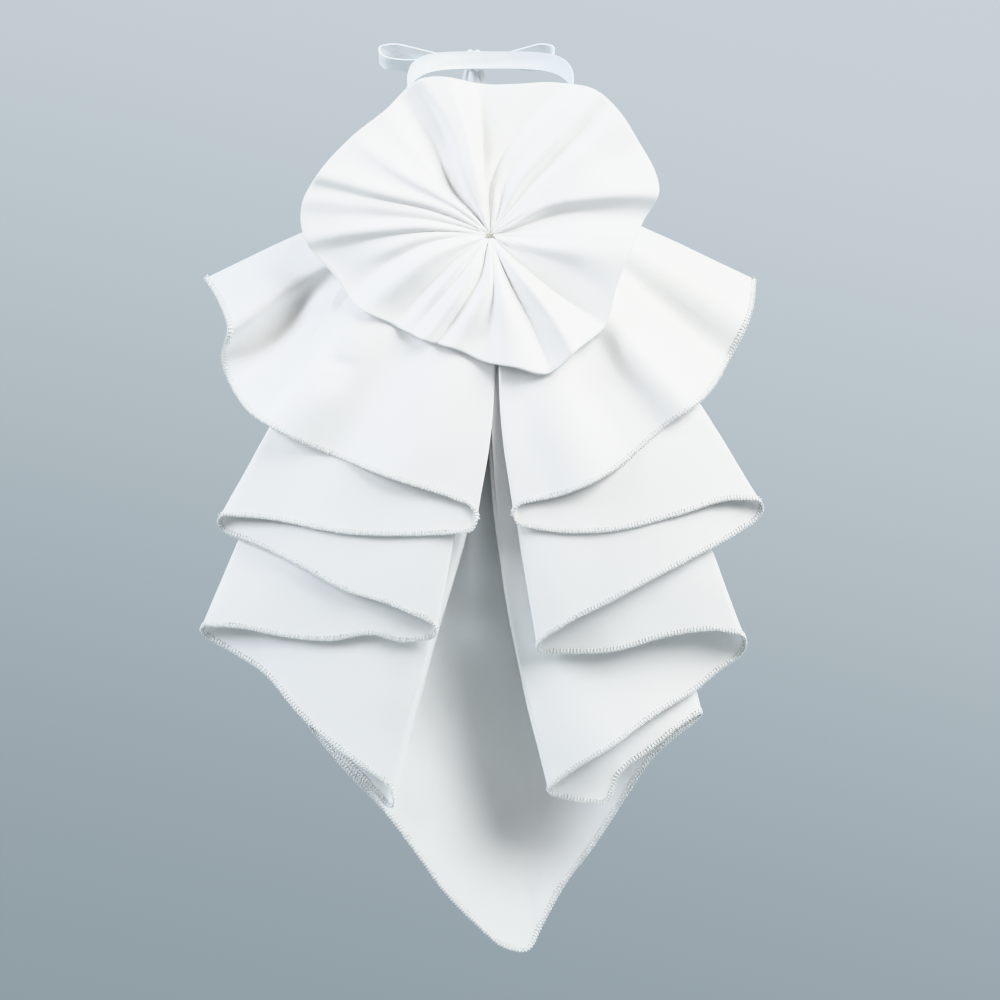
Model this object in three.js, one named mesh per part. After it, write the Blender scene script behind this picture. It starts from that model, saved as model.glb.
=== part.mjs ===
// Detachable ruffled collar in white satin: a gathered rosette over a cascade of ruffles, tied round the neck.
// Millimetres, +Z up, +X to the viewer's right, the front faces -Y. The origin is the middle of the neck loop.
import * as THREE from "three";
import { mergeVertices } from "three/addons/utils/BufferGeometryUtils.js";

// Driving dimensions
const satin = { wall: 1.2, gap: 0.3 };
const cascade = { top: -39, rows: 10, turnSteps: 4, hemEase: 1.7, fluteStart: 0.15, nose: 4, noseFrom: 0.8 };
const rosette = {
  centre: [0, -96],
  lean: 0.36,
  wall: 2.4,
  slantAllowance: 1.15,
  hubRadius: 1.5,
  centreRadius: 100,
  dish: 7,
  spokes: 96,
  rings: 7,
};
const stitch = { width: 5, depth: 2.2, height: 3 };
const ribbon = { width: 12, wall: 1.2, sideRadius: 55, flare: 6, frontRadius: 60.4, napeRadius: 57, steps: 48 };
const ribbonLevel = { front: -44, side: 9, nape: 30 };
const knot = { aside: -12, width: 14, depth: 12, height: 15 };
const loop = { leftReach: 60, rightReach: 50, opening: 16, root: 1.6, roll: 40, rise: 4, swing: 5, steps: 26 };
const tail = { length: 96, spread: 14, ease: 1.3, swing: 8, twist: 0.15, steps: 10 };
const pillow = { segments: 14, rings: 8, squareness: 0.7 };

// The surface that the cloth lies over, at each level: how far the rearmost layer stands forward, how far it sweeps
// back 100 mm out from the middle, and the pitch from one layer to the next.
const chest = [
  { level: -39, front: 62, sweep: 80, pitch: 3.0 },
  { level: -75, front: 74, sweep: 34, pitch: 3.2 },
  { level: -120, front: 88, sweep: 18, pitch: 3.6 },
  { level: -190, front: 104, sweep: 13, pitch: 4.4 },
  { level: -280, front: 114, sweep: 11, pitch: 5.0 },
  { level: -360, front: 116, sweep: 10, pitch: 5.2 },
  { level: -460, front: 114, sweep: 9, pitch: 5.2 },
  { level: -570, front: 112, sweep: 8, pitch: 5.2 },
];

// Fold lines in order along the cloth, from the left front corner round the back to the right one. line holds the
// sideways place at the gather, half way, three quarters down and at the hem; hem is the hem's level there, and drop
// is how much lower the hem is behind the fold than before it. side is +1 where the fold points right.
const folds = [
  { name: "left corner", side: 0, line: [-46, -101, -146, -191], hem: -124, drop: 0 },
  { name: "left inner 1", side: 1, line: [-1, 3.5, 0.9, -8.5], hem: -279, drop: 16 },
  { name: "left outer 1", side: -1, line: [-50, -114.5, -143.6, -178.4], hem: -283.5, drop: 11 },
  { name: "left inner 2", side: 1, line: [-6, -8, -20, -34.6], hem: -352, drop: 10 },
  { name: "left outer 2", side: -1, line: [-52, -122, -156.5, -191.2], hem: -356, drop: 8 },
  { name: "left inner 3", side: 1, line: [-12, -9, -36, -63.5], hem: -467, drop: 20 },
  { name: "left outer 3", side: -1, line: [-50, -92, -108, -119.5], hem: -418, drop: 6 },
  { name: "right outer 3", side: 1, line: [44, 92, 119, 140.6], hem: -412, drop: 4 },
  { name: "right inner 3", side: -1, line: [-7, 0.5, 14.5, 38.5], hem: -461, drop: 6 },
  { name: "right outer 2", side: 1, line: [44, 104.5, 137.5, 169.5], hem: -365, drop: 14 },
  { name: "right inner 2", side: -1, line: [3, 7, 17.5, 31], hem: -363, drop: 9 },
  { name: "right outer 1", side: 1, line: [42, 105, 142, 179], hem: -274.5, drop: 12 },
  { name: "right inner 1", side: -1, line: [4, 5.5, 7.5, 15.5], hem: -276, drop: 13 },
  { name: "right corner", side: 0, line: [40, 86, 131, 177], hem: -125, drop: 0 },
];

// The panels between those fold lines. layer counts forward from the rearmost; hem lists [x, z] between the folds.
const panels = [
  {
    name: "left front",
    layer: 7.7,
    steps: 15,
    hem: [[-179, -140], [-172, -157], [-177, -178], [-162, -206], [-129, -226], [-75, -248], [-29, -263]],
  },
  { name: "left 2", layer: 6.8, steps: 7, hem: [[-52, -289], [-95, -288], [-143, -280]] },
  { name: "left 3", layer: 6.1, steps: 7, hem: [[-146, -300], [-120, -312], [-95, -325], [-65, -334]] },
  {
    name: "left 4",
    layer: 4.7,
    steps: 7,
    hem: [[-58, -359], [-77, -354.5], [-105, -359], [-137, -357], [-164, -352.5]],
  },
  { name: "left 5", layer: 3.8, steps: 7, hem: [[-164, -373.5], [-148, -383.5], [-122, -412], [-97, -433]] },
  { name: "left 6", layer: 1.3, steps: 4, hem: [[-93, -443]] },
  {
    name: "back",
    layer: 0,
    steps: 23,
    hem: [
      [-96, -448], [-68, -478], [-45.5, -509], [-30, -532], [-1, -563.5], [8, -571], [25, -574.5],
      [34, -559], [49, -531], [69, -503], [88.5, -471], [107, -442], [123, -427],
    ],
  },
  { name: "right 6", layer: 1.2, steps: 7, hem: [[123, -421], [106, -434], [86, -449], [77, -468], [62, -468]] },
  { name: "right 5", layer: 3, steps: 7, hem: [[58, -443], [80, -430], [109, -410], [136, -395], [149, -385]] },
  { name: "right 4", layer: 3.9, steps: 7, hem: [[146, -354], [116, -357], [80, -366]] },
  { name: "right 3", layer: 6.1, steps: 7, hem: [[54, -344], [75, -334], [108, -317], [137, -303], [157, -293]] },
  { name: "right 2", layer: 6.8, steps: 7, hem: [[155, -268], [122, -277], [82, -286], [47, -287]] },
  {
    name: "right front",
    layer: 7.7,
    steps: 13,
    hem: [[48, -262], [79, -248], [116, -218], [144, -197], [162, -169], [173, -145]],
  },
];

// Soft flutes that run from the gather to the hem of a panel: at is the place across the panel from 0 to 1, reach
// its half width there, and rise how far it stands forward at the hem.
const flutes = [
  { panel: "left front", at: 0.13, reach: 0.09, rise: 13 },
  { panel: "left front", at: 0.25, reach: 0.09, rise: -10 },
  { panel: "left front", at: 0.42, reach: 0.14, rise: 12 },
  { panel: "left front", at: 0.62, reach: 0.12, rise: -1.5 },
  { panel: "left front", at: 0.82, reach: 0.16, rise: 5 },
  { panel: "right front", at: 0.2, reach: 0.16, rise: 6 },
  { panel: "right front", at: 0.4, reach: 0.1, rise: -1 },
  { panel: "right front", at: 0.56, reach: 0.12, rise: 9 },
  { panel: "right front", at: 0.74, reach: 0.1, rise: -9 },
  { panel: "right front", at: 0.9, reach: 0.1, rise: 5 },
];

// Broad scoops in a panel: at and reach as for a flute, start and deepest how far down the scoop starts and is
// deepest, rise how far it stands forward there (hollows -), and hem how far at the hem.
const scoops = [{ panel: "back", at: 0.435, reach: 0.45, start: 0.2, deepest: 0.75, rise: -34, hem: -26 }];

// The rosette's rim in turn round its middle: angle in degrees from +X, and radius.
const rim = [
  { angle: 5, radius: 100 },
  { angle: 15, radius: 114 },
  { angle: 33, radius: 115 },
  { angle: 53, radius: 118 },
  { angle: 66, radius: 110 },
  { angle: 80, radius: 101 },
  { angle: 94, radius: 100 },
  { angle: 114, radius: 112 },
  { angle: 130, radius: 107 },
  { angle: 145, radius: 111 },
  { angle: 159, radius: 118 },
  { angle: 171, radius: 124 },
  { angle: 182, radius: 120 },
  { angle: 194, radius: 105 },
  { angle: 208, radius: 98 },
  { angle: 222, radius: 86 },
  { angle: 238, radius: 80 },
  { angle: 254, radius: 77 },
  { angle: 268, radius: 82 },
  { angle: 281, radius: 87 },
  { angle: 293, radius: 97 },
  { angle: 308, radius: 93 },
  { angle: 322, radius: 95 },
  { angle: 337, radius: 89 },
  { angle: 352, radius: 91 },
];

// The rosette's folds in turn round its middle: the angle near the hub and at the rim, and how far the fold stands
// forward half way out (ridges +, valleys -) and at the rim.
const petals = [
  { name: "under the right ridge", inner: 16, outer: 6, rise: -1.5, edge: -3 },
  { name: "right ridge", inner: 28, outer: 13, rise: 8, edge: 7 },
  { name: "right rim dip", inner: 38, outer: 25, rise: 4.5, edge: 0 },
  { name: "upper right streak", inner: 48, outer: 43, rise: 3, edge: 3 },
  { name: "upper right ridge", inner: 61, outer: 52, rise: 6, edge: 4.5 },
  { name: "top crease", inner: 88, outer: 62, rise: -6.5, edge: -3 },
  { name: "top swell", inner: 92, outer: 80, rise: -1, edge: 0 },
  { name: "top dip", inner: 97, outer: 93, rise: -3, edge: -3 },
  { name: "top ridge", inner: 108, outer: 109, rise: 8, edge: 6.5 },
  { name: "upper left valley", inner: 131, outer: 122, rise: -7, edge: -1 },
  { name: "upper left swell", inner: 135, outer: 133, rise: 1, edge: 1.5 },
  { name: "bright ridge", inner: 140, outer: 144, rise: 6, edge: 3.5 },
  { name: "left ridge a", inner: 152, outer: 161, rise: 6, edge: 5 },
  { name: "left dip", inner: 163, outer: 170, rise: 2.5, edge: 2.5 },
  { name: "left ridge b", inner: 172, outer: 182, rise: 5.5, edge: 2 },
  { name: "arc dip", inner: 186, outer: 201, rise: -0.5, edge: -5 },
  { name: "lower left lobe", inner: 198, outer: 212, rise: 5, edge: 2 },
  { name: "lower left valley", inner: 214, outer: 224, rise: -2.5, edge: -2.5 },
  { name: "lower left ridge", inner: 237, outer: 234, rise: 3.5, edge: 2 },
  { name: "lower crease", inner: 257, outer: 243, rise: -4, edge: -2.5 },
  { name: "lower ridge", inner: 269, outer: 251, rise: 4, edge: 2 },
  { name: "bottom dip", inner: 275, outer: 265, rise: 0.5, edge: -2 },
  { name: "bottom lobe", inner: 281, outer: 280, rise: 3.5, edge: 2 },
  { name: "tip crease", inner: 292, outer: 294, rise: -5, edge: -4 },
  { name: "tip ridge", inner: 305, outer: 305.5, rise: 6, edge: 4.5 },
  { name: "deep crease", inner: 315, outer: 321, rise: -9, edge: -5 },
  { name: "facet edge", inner: 335, outer: 329, rise: -2, edge: -3 },
  { name: "right lobe", inner: 346, outer: 352, rise: 3, edge: 1 },
];

// Materials
const satinCloth = new THREE.MeshStandardMaterial({ name: "satin", color: 0xf4f6f6, roughness: 0.42, metalness: 0 });
const ribbonCloth = new THREE.MeshStandardMaterial({ name: "ribbon", color: 0xf1f4f5, roughness: 0.4, metalness: 0 });
const thread = new THREE.MeshStandardMaterial({ name: "thread", color: 0xe3dfd2, roughness: 0.8, metalness: 0 });

// Smooth curve through the values at rising knots, with the slope at each knot from its two neighbours.
function through(knots, values, at) {
  const last = knots.length - 1;
  const place = THREE.MathUtils.clamp(at, knots[0], knots[last]);
  let i = 0;
  while (i < last - 1 && knots[i + 1] < place) {
    i += 1;
  }
  const slope = (k) => {
    const before = Math.max(k - 1, 0);
    const after = Math.min(k + 1, last);
    return (values[after] - values[before]) / (knots[after] - knots[before]);
  };
  const span = knots[i + 1] - knots[i];
  const t = (place - knots[i]) / span;
  const start = (1 + 2 * t) * (1 - t) ** 2 * values[i] + t * (1 - t) ** 2 * span * slope(i);
  const end = t * t * (3 - 2 * t) * values[i + 1] + t * t * (t - 1) * span * slope(i + 1);
  return start + end;
}

const chestKnots = chest.map((row) => -row.level);
const chestAt = (column, z) => through(chestKnots, chest.map((row) => row[column]), -z);

// How far back (y) the cloth of a layer lies at the place (x, z).
function clothDepth(x, z, layer) {
  return -chestAt("front", z) + chestAt("sweep", z) * (x / 100) ** 2 - chestAt("pitch", z) * layer;
}

// A closed wall round a grid of points: grid[column][row] is its middle, and each side lies half the wall away.
// A ring of columns closes on itself, and a disc is a ring whose first rows close at the middle too.
function wallAround(grid, wall, { ring = false, disc = false } = {}) {
  const columns = grid.length;
  const rows = grid[0].length;
  const neighbour = (i, step) => {
    const next = i + step;
    return ring ? (next + columns) % columns : THREE.MathUtils.clamp(next, 0, columns - 1);
  };
  const faces = [[], []];
  for (let i = 0; i < columns; i += 1) {
    for (let j = 0; j < rows; j += 1) {
      const along = grid[neighbour(i, 1)][j].clone().sub(grid[neighbour(i, -1)][j]);
      const down = grid[i][Math.min(j + 1, rows - 1)].clone().sub(grid[i][Math.max(j - 1, 0)]);
      const normal = along.cross(down).normalize().multiplyScalar(wall / 2);
      faces[0].push(grid[i][j].clone().add(normal));
      faces[1].push(grid[i][j].clone().sub(normal));
    }
  }
  const points = faces.flat();
  const other = columns * rows;
  const index = [];
  const quad = (a, b, c, d) => index.push(a, b, c, a, c, d);
  const at = (i, j) => (i % columns) * rows + j;
  const spans = ring ? columns : columns - 1;
  for (let i = 0; i < spans; i += 1) {
    for (let j = 0; j < rows - 1; j += 1) {
      quad(at(i, j), at(i + 1, j), at(i + 1, j + 1), at(i, j + 1));
      quad(other + at(i, j), other + at(i, j + 1), other + at(i + 1, j + 1), other + at(i + 1, j));
    }
    if (disc) {
      index.push(at(i, 0), points.length, at(i + 1, 0));
      index.push(other + at(i, 0), other + at(i + 1, 0), points.length + 1);
    } else {
      quad(at(i, 0), other + at(i, 0), other + at(i + 1, 0), at(i + 1, 0));
    }
    quad(at(i + 1, rows - 1), other + at(i + 1, rows - 1), other + at(i, rows - 1), at(i, rows - 1));
  }
  if (!ring) {
    for (let j = 0; j < rows - 1; j += 1) {
      quad(at(0, j + 1), other + at(0, j + 1), other + at(0, j), at(0, j));
      const end = columns - 1;
      quad(at(end, j), other + at(end, j), other + at(end, j + 1), at(end, j + 1));
    }
  }
  if (disc) {
    points.push(...faces.map((face) => middleOf(face.filter((_, k) => k % rows === 0))));
  }
  return closedGeometry(points, index);
}

function middleOf(points) {
  return points.reduce((sum, p) => sum.add(p), new THREE.Vector3()).divideScalar(points.length);
}

// A geometry from points and triangles, turned so that its faces point out.
function closedGeometry(points, index) {
  const geometry = new THREE.BufferGeometry().setFromPoints(points);
  let volume = 0;
  for (let t = 0; t < index.length; t += 3) {
    const [a, b, c] = [points[index[t]], points[index[t + 1]], points[index[t + 2]]];
    volume += a.dot(b.clone().cross(c));
  }
  geometry.setIndex(volume < 0 ? index.slice().reverse() : index);
  return geometry;
}

function named(name, geometry, material, place = new THREE.Vector3()) {
  geometry.computeVertexNormals();
  const mesh = new THREE.Mesh(geometry, material);
  mesh.name = name;
  mesh.position.copy(place);
  return mesh;
}

// Ruffle cascade

const lineKnots = [0, 0.5, 0.75, 1];

// The layers before and behind fold k.
const layersAt = (k) => [panels[Math.max(k - 1, 0)].layer, panels[Math.min(k, panels.length - 1)].layer];

// How steeply the hem rises to the right where it comes to fold k (edge 0) or leaves it (edge 1).
function hemSlope(k, edge) {
  const panel = panels[k - 1 + edge];
  if (!panel) {
    return 0;
  }
  const fold = folds[k];
  const [before, behind] = layersAt(k);
  const frontness = before > behind === (edge === 0) ? 1 : -1;
  const [x, z] = edge === 0 ? panel.hem[panel.hem.length - 1] : panel.hem[0];
  return (fold.hem + (frontness * fold.drop) / 2 - z) / (fold.line[3] - x);
}

// A point of fold k, v of the way down: turn runs from 0 before the fold to 1 behind it.
function foldPoint(k, turn, v) {
  const fold = folds[k];
  const [before, behind] = layersAt(k);
  const level = (1 - Math.cos(turn * Math.PI)) / 2;
  const layer = before + (behind - before) * level;
  const frontness = before > behind ? 1 - 2 * level : 2 * level - 1;
  const straight = THREE.MathUtils.lerp(cascade.top, fold.hem + (frontness * fold.drop) / 2, v);
  const rounding = THREE.MathUtils.smoothstep(v, cascade.noseFrom, 1);
  const radius = chestAt("pitch", straight) / 2 + cascade.nose * rounding;
  const inset = fold.side * radius * (1 - Math.sin(turn * Math.PI));
  const z = straight - hemSlope(k, Math.round(turn)) * inset * rounding;
  const x = through(lineKnots, fold.line, v) - inset;
  return { x, z, layer };
}

// One panel's columns, each a function of v, from just behind its first fold to just before its second.
function panelColumns(k) {
  const panel = panels[k];
  const first = (v) => foldPoint(k, 1, v);
  const second = (v) => foldPoint(k + 1, 0, v);
  const flat = (p) => new THREE.Vector3(p.x, 0, p.z);
  const middle = panel.hem.map(([x, z]) => new THREE.Vector3(x, 0, z));
  const hem = new THREE.CatmullRomCurve3([flat(first(1)), ...middle, flat(second(1))], false, "centripetal");
  const waves = flutes.filter((flute) => flute.panel === panel.name);
  const hollows = scoops.filter((scoop) => scoop.panel === panel.name);
  const columns = [];
  for (let i = 0; i <= panel.steps; i += 1) {
    const f = i / panel.steps;
    const chord = flat(first(1)).lerp(flat(second(1)), f);
    const bulge = hem.getPointAt(f).sub(chord);
    const rise = waves.reduce((sum, wave) => sum + wave.rise * bump((f - wave.at) / wave.reach), 0);
    columns.push((v) => {
      const here = flat(first(v)).lerp(flat(second(v)), f).addScaledVector(bulge, v ** cascade.hemEase);
      const scooped = hollows.reduce((sum, scoop) => sum + scoopRise(scoop, f, v), 0);
      const forward = rise * THREE.MathUtils.smoothstep(v, cascade.fluteStart, 1) + scooped;
      return new THREE.Vector3(here.x, clothDepth(here.x, here.z, panel.layer) - forward, here.z);
    });
  }
  return columns;
}

// A smooth hump, 1 in the middle and 0 from -1 outwards and +1 outwards.
function bump(t) {
  return Math.abs(t) < 1 ? Math.cos((t * Math.PI) / 2) ** 2 : 0;
}

// How far forward a scoop moves the cloth, f of the way across its panel and v of the way down.
function scoopRise(scoop, f, v) {
  const depth = through([0, scoop.start, scoop.deepest, 1], [0, 0, scoop.rise, scoop.hem], v);
  return depth * bump((f - scoop.at) / scoop.reach);
}

function foldColumns(k) {
  const columns = [];
  for (let i = 1; i < cascade.turnSteps; i += 1) {
    columns.push((v) => {
      const p = foldPoint(k, i / cascade.turnSteps, v);
      return new THREE.Vector3(p.x, clothDepth(p.x, p.z, p.layer), p.z);
    });
  }
  return columns;
}

function makeCascadeGrid() {
  const columns = panelColumns(0);
  for (let k = 1; k < panels.length; k += 1) {
    columns.push(...foldColumns(k), ...panelColumns(k));
  }
  return columns.map((column) => {
    const points = [];
    for (let j = 0; j <= cascade.rows; j += 1) {
      points.push(column(j / cascade.rows));
    }
    return points;
  });
}

// Rosette

// Rows carried round the full turn: three from the end before the first, and three from the start after the last.
const around = (rows) => [...rows.slice(-3), ...rows, ...rows.slice(0, 3)];
const carried = (angle, i, count) => angle + (i < 3 ? -360 : 0) + (i >= count - 3 ? 360 : 0);

const rimRows = around(rim);
const rimKnots = rimRows.map((row, i) => carried(row.angle, i, rimRows.length));
const rimRadii = rimRows.map((row) => row.radius);
const rimRadius = (angle) => through(rimKnots, rimRadii, angle);

const petalRows = around(petals);

// A petal column's value at an angle, out of the way from the hub to the rim.
function petalAt(column, angle, out) {
  const knots = petalRows.map((row, i) => {
    return carried(THREE.MathUtils.lerp(row.inner, row.outer, out), i, petalRows.length);
  });
  return through(knots, petalRows.map((row) => row[column]), angle);
}

// The rosette's middle surface, measured from its centre: out is 0 at the hub and 1 at the rim.
function rosettePoint(angle, out) {
  const turn = THREE.MathUtils.degToRad(angle);
  const radius = THREE.MathUtils.lerp(rosette.hubRadius, rimRadius(angle), out);
  const half = petalAt("rise", angle, out) * Math.sin(Math.PI * Math.min(out, 0.5)) ** 1.5;
  const edge = petalAt("edge", angle, out);
  const rise = out < 0.5 ? half : THREE.MathUtils.lerp(half, edge, (out - 0.5) * 2);
  const dish = rosette.dish * Math.sqrt(out);
  const x = radius * Math.cos(turn);
  const z = radius * Math.sin(turn);
  return new THREE.Vector3(x, -(rise + dish) + z * rosette.lean, z);
}

// The middle surface's depth at a place (x, z) from the rosette's centre, or null beside the rosette.
function rosetteDepthAt(x, z) {
  const angle = (THREE.MathUtils.radToDeg(Math.atan2(z, x)) + 360) % 360;
  const out = (Math.hypot(x, z) - rosette.hubRadius) / (rimRadius(angle) - rosette.hubRadius);
  return out < 1 ? rosettePoint(angle, Math.max(out, 0)).y : null;
}

// The rosette rests on the front ruffles: the most forward place behind it sets how far forward it stands.
function rosetteRest(cascadeGrid) {
  const [centreX, centreZ] = rosette.centre;
  const walls = ((satin.wall + rosette.wall) / 2) * rosette.slantAllowance;
  let rest = Infinity;
  for (const p of surfaceSamples(cascadeGrid)) {
    const depth = rosetteDepthAt(p.x - centreX, p.z - centreZ);
    if (depth !== null) {
      rest = Math.min(rest, p.y - depth - walls);
    }
  }
  return rest - satin.gap;
}

// The grid's points with three more between each pair, both ways.
function surfaceSamples(grid) {
  const samples = [];
  const parts = 4;
  for (let i = 0; i < (grid.length - 1) * parts; i += 1) {
    for (let j = 0; j < (grid[0].length - 1) * parts; j += 1) {
      const [a, b] = [Math.floor(i / parts), Math.floor(j / parts)];
      const above = grid[a][b].clone().lerp(grid[a + 1][b], (i % parts) / parts);
      const below = grid[a][b + 1].clone().lerp(grid[a + 1][b + 1], (i % parts) / parts);
      samples.push(above.lerp(below, (j % parts) / parts));
    }
  }
  return samples;
}

function rosetteGeometry() {
  const grid = [];
  for (let i = 0; i < rosette.spokes; i += 1) {
    const points = [];
    for (let j = 0; j <= rosette.rings; j += 1) {
      points.push(rosettePoint((i * 360) / rosette.spokes, j / rosette.rings));
    }
    grid.push(points);
  }
  return wallAround(grid, rosette.wall, { ring: true, disc: true });
}

// Ribbon and bow

// The neck loop's middle line at an angle from the front, rising from the gather to the nape.
function ribbonLine(angle) {
  const front = (1 + Math.cos(angle)) / 2;
  const across = ribbon.sideRadius + ribbon.flare * front ** 2;
  const deep = THREE.MathUtils.lerp(ribbon.napeRadius, ribbon.frontRadius, front);
  const middle = (ribbonLevel.front + ribbonLevel.nape) / 2;
  const tilt = ((ribbonLevel.front - ribbonLevel.nape) / 2) * Math.cos(angle);
  const bow = ((middle - ribbonLevel.side) / 2) * Math.cos(2 * angle);
  const z = (middle + ribbonLevel.side) / 2 + tilt + bow;
  return new THREE.Vector3(across * Math.sin(angle), -deep * Math.cos(angle), z);
}

// A strip's two edges beside its middle line, in the direction of its width.
function stripEdges(middle, widthways) {
  const half = widthways.clone().setLength(ribbon.width / 2);
  return [middle.clone().add(half), middle.clone().sub(half)];
}

function neckRibbonGeometry() {
  const grid = [];
  const step = (2 * Math.PI) / ribbon.steps;
  for (let i = 0; i < ribbon.steps; i += 1) {
    const middle = ribbonLine(i * step);
    const along = ribbonLine((i + 0.5) * step).sub(ribbonLine((i - 0.5) * step));
    const outward = new THREE.Vector3(middle.x, middle.y, 0).normalize();
    grid.push(stripEdges(middle, outward.cross(along)));
  }
  return wallAround(grid, ribbon.wall, { ring: true });
}

// A rounded block of the given size about its own middle, for a knot or a stitch.
function pillowGeometry(width, depth, height) {
  const geometry = new THREE.SphereGeometry(1, pillow.segments, pillow.rings);
  geometry.deleteAttribute("normal");
  geometry.deleteAttribute("uv");
  const round = mergeVertices(geometry);
  const place = round.attributes.position;
  const squared = (c) => Math.sign(c) * Math.abs(c) ** pillow.squareness;
  for (let i = 0; i < place.count; i += 1) {
    const [x, y, z] = [place.getX(i), place.getY(i), place.getZ(i)].map(squared);
    place.setXYZ(i, (x * width) / 2, (y * depth) / 2, (z * height) / 2);
  }
  return round;
}

const knotDepth = ribbonLine(Math.PI).y + ribbon.wall / 2 + satin.gap + knot.depth / 2;
const knotPlace = new THREE.Vector3(knot.aside, knotDepth, ribbonLevel.nape);

// A bow loop: out from the knot's side, round at the tip and back, its strands opening along a rolled direction.
function loopGeometry(side, reach) {
  const roll = THREE.MathUtils.degToRad(loop.roll);
  const opening = new THREE.Vector3(0, Math.sin(roll), Math.cos(roll));
  const widthways = new THREE.Vector3(0, Math.cos(roll), -Math.sin(roll));
  const root = knot.width / 2 + satin.gap;
  const grid = [];
  for (let i = 0; i <= loop.steps; i += 1) {
    const t = i / loop.steps;
    const out = Math.sin(Math.PI * t);
    const apart = loop.root * Math.cos(Math.PI * t) + (loop.opening / 2) * Math.sin(2 * Math.PI * t) * out;
    const tip = new THREE.Vector3(side * (root + reach * out), loop.swing * out, loop.rise * out ** 2);
    const middle = tip.add(knotPlace);
    grid.push(stripEdges(middle.addScaledVector(opening, apart), widthways));
  }
  return wallAround(grid, ribbon.wall);
}

// A free end of the ribbon, down from the knot over the back.
function tailGeometry(side) {
  const grid = [];
  const top = knotPlace.z - knot.height / 2 - satin.gap;
  for (let i = 0; i <= tail.steps; i += 1) {
    const t = i / tail.steps;
    const x = knotPlace.x + side * (ribbon.width / 2 + satin.gap + tail.spread * t ** tail.ease);
    const y = knotPlace.y + tail.swing * Math.sin((Math.PI / 2) * t);
    const middle = new THREE.Vector3(x, y, top - tail.length * t);
    grid.push(stripEdges(middle, new THREE.Vector3(1, 0, side * tail.twist * t)));
  }
  return wallAround(grid, ribbon.wall);
}

// Assembly

const collar = new THREE.Group();
collar.name = "ruffled_collar";

const cascadeGrid = makeCascadeGrid();
const rosettePlace = new THREE.Vector3(rosette.centre[0], rosetteRest(cascadeGrid), rosette.centre[1]);
const stitchOut = (stitch.width / 2 - rosette.hubRadius) / rosette.centreRadius;
const stitchSeat = rosettePlace.y - rosette.dish * Math.sqrt(stitchOut);
const stitchDepth = stitchSeat - rosette.wall / 2 - satin.gap - stitch.depth / 2;

collar.add(named("ruffle_cascade", wallAround(cascadeGrid, satin.wall), satinCloth));
collar.add(named("rosette", rosetteGeometry(), satinCloth, rosettePlace));
const stitchPlace = rosettePlace.clone().setY(stitchDepth);
collar.add(named("rosette_stitch", pillowGeometry(stitch.width, stitch.depth, stitch.height), thread, stitchPlace));
collar.add(named("neck_ribbon", neckRibbonGeometry(), ribbonCloth));
collar.add(named("bow_knot", pillowGeometry(knot.width, knot.depth, knot.height), ribbonCloth, knotPlace));
collar.add(named("bow_loop_left", loopGeometry(-1, loop.leftReach), ribbonCloth));
collar.add(named("bow_loop_right", loopGeometry(1, loop.rightReach), ribbonCloth));
collar.add(named("bow_tail_left", tailGeometry(-1), ribbonCloth));
collar.add(named("bow_tail_right", tailGeometry(1), ribbonCloth));

export default collar;
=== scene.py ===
# Detachable ruffled collar in white polyester satin: a gathered rosette over a cascade of ruffles,
# on a narrow ribbon tied in a bow at the nape. Shapes are worked out in millimetres and placed in metres.
import math
import bmesh
import bpy
import numpy as np
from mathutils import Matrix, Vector


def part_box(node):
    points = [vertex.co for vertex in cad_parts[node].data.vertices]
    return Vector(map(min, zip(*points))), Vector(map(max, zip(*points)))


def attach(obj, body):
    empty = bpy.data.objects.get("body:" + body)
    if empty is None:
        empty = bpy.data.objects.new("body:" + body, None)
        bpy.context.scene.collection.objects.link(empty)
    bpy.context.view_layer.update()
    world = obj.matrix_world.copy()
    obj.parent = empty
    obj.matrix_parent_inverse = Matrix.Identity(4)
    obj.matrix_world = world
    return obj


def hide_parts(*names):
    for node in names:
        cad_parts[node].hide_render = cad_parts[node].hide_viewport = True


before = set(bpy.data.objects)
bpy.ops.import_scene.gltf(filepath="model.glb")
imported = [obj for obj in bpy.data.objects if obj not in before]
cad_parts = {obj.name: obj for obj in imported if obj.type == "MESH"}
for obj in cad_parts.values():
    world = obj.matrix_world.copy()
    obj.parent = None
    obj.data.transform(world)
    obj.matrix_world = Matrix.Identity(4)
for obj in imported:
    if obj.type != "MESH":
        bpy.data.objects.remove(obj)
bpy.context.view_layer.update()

mm = 0.001
scene = bpy.context.scene


# Small tools for tables and numbers

def table(keys, *rows):
    # the rows as dictionaries, all with the same keys
    return [dict(zip(keys, row)) for row in rows]


def lerp(a, b, t):
    return a + (b - a) * t


def smoothstep(low, high, value):
    t = np.clip((value - low) / (high - low), 0, 1)
    return t * t * (3 - 2 * t)


def bump(t):
    # a smooth hump, 1 in the middle and 0 from -1 outwards and +1 outwards
    return np.where(np.abs(t) < 1, np.cos(np.clip(t, -1, 1) * math.pi / 2) ** 2, 0.0)


def through(knots, values, at):
    # a smooth curve through the values at rising knots, each slope from the two neighbours
    knots, values = np.asarray(knots, float), np.asarray(values, float)
    last = len(knots) - 1
    place = np.clip(at, knots[0], knots[-1])
    i = np.clip(np.searchsorted(knots, place) - 1, 0, last - 1)
    before = np.maximum(np.arange(last + 1) - 1, 0)
    after = np.minimum(np.arange(last + 1) + 1, last)
    slope = (values[after] - values[before]) / (knots[after] - knots[before])
    span = knots[i + 1] - knots[i]
    t = (place - knots[i]) / span
    start = (1 + 2 * t) * (1 - t) ** 2 * values[i] + t * (1 - t) ** 2 * span * slope[i]
    end = t * t * (3 - 2 * t) * values[i + 1] + t * t * (t - 1) * span * slope[i + 1]
    return start + end


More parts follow.
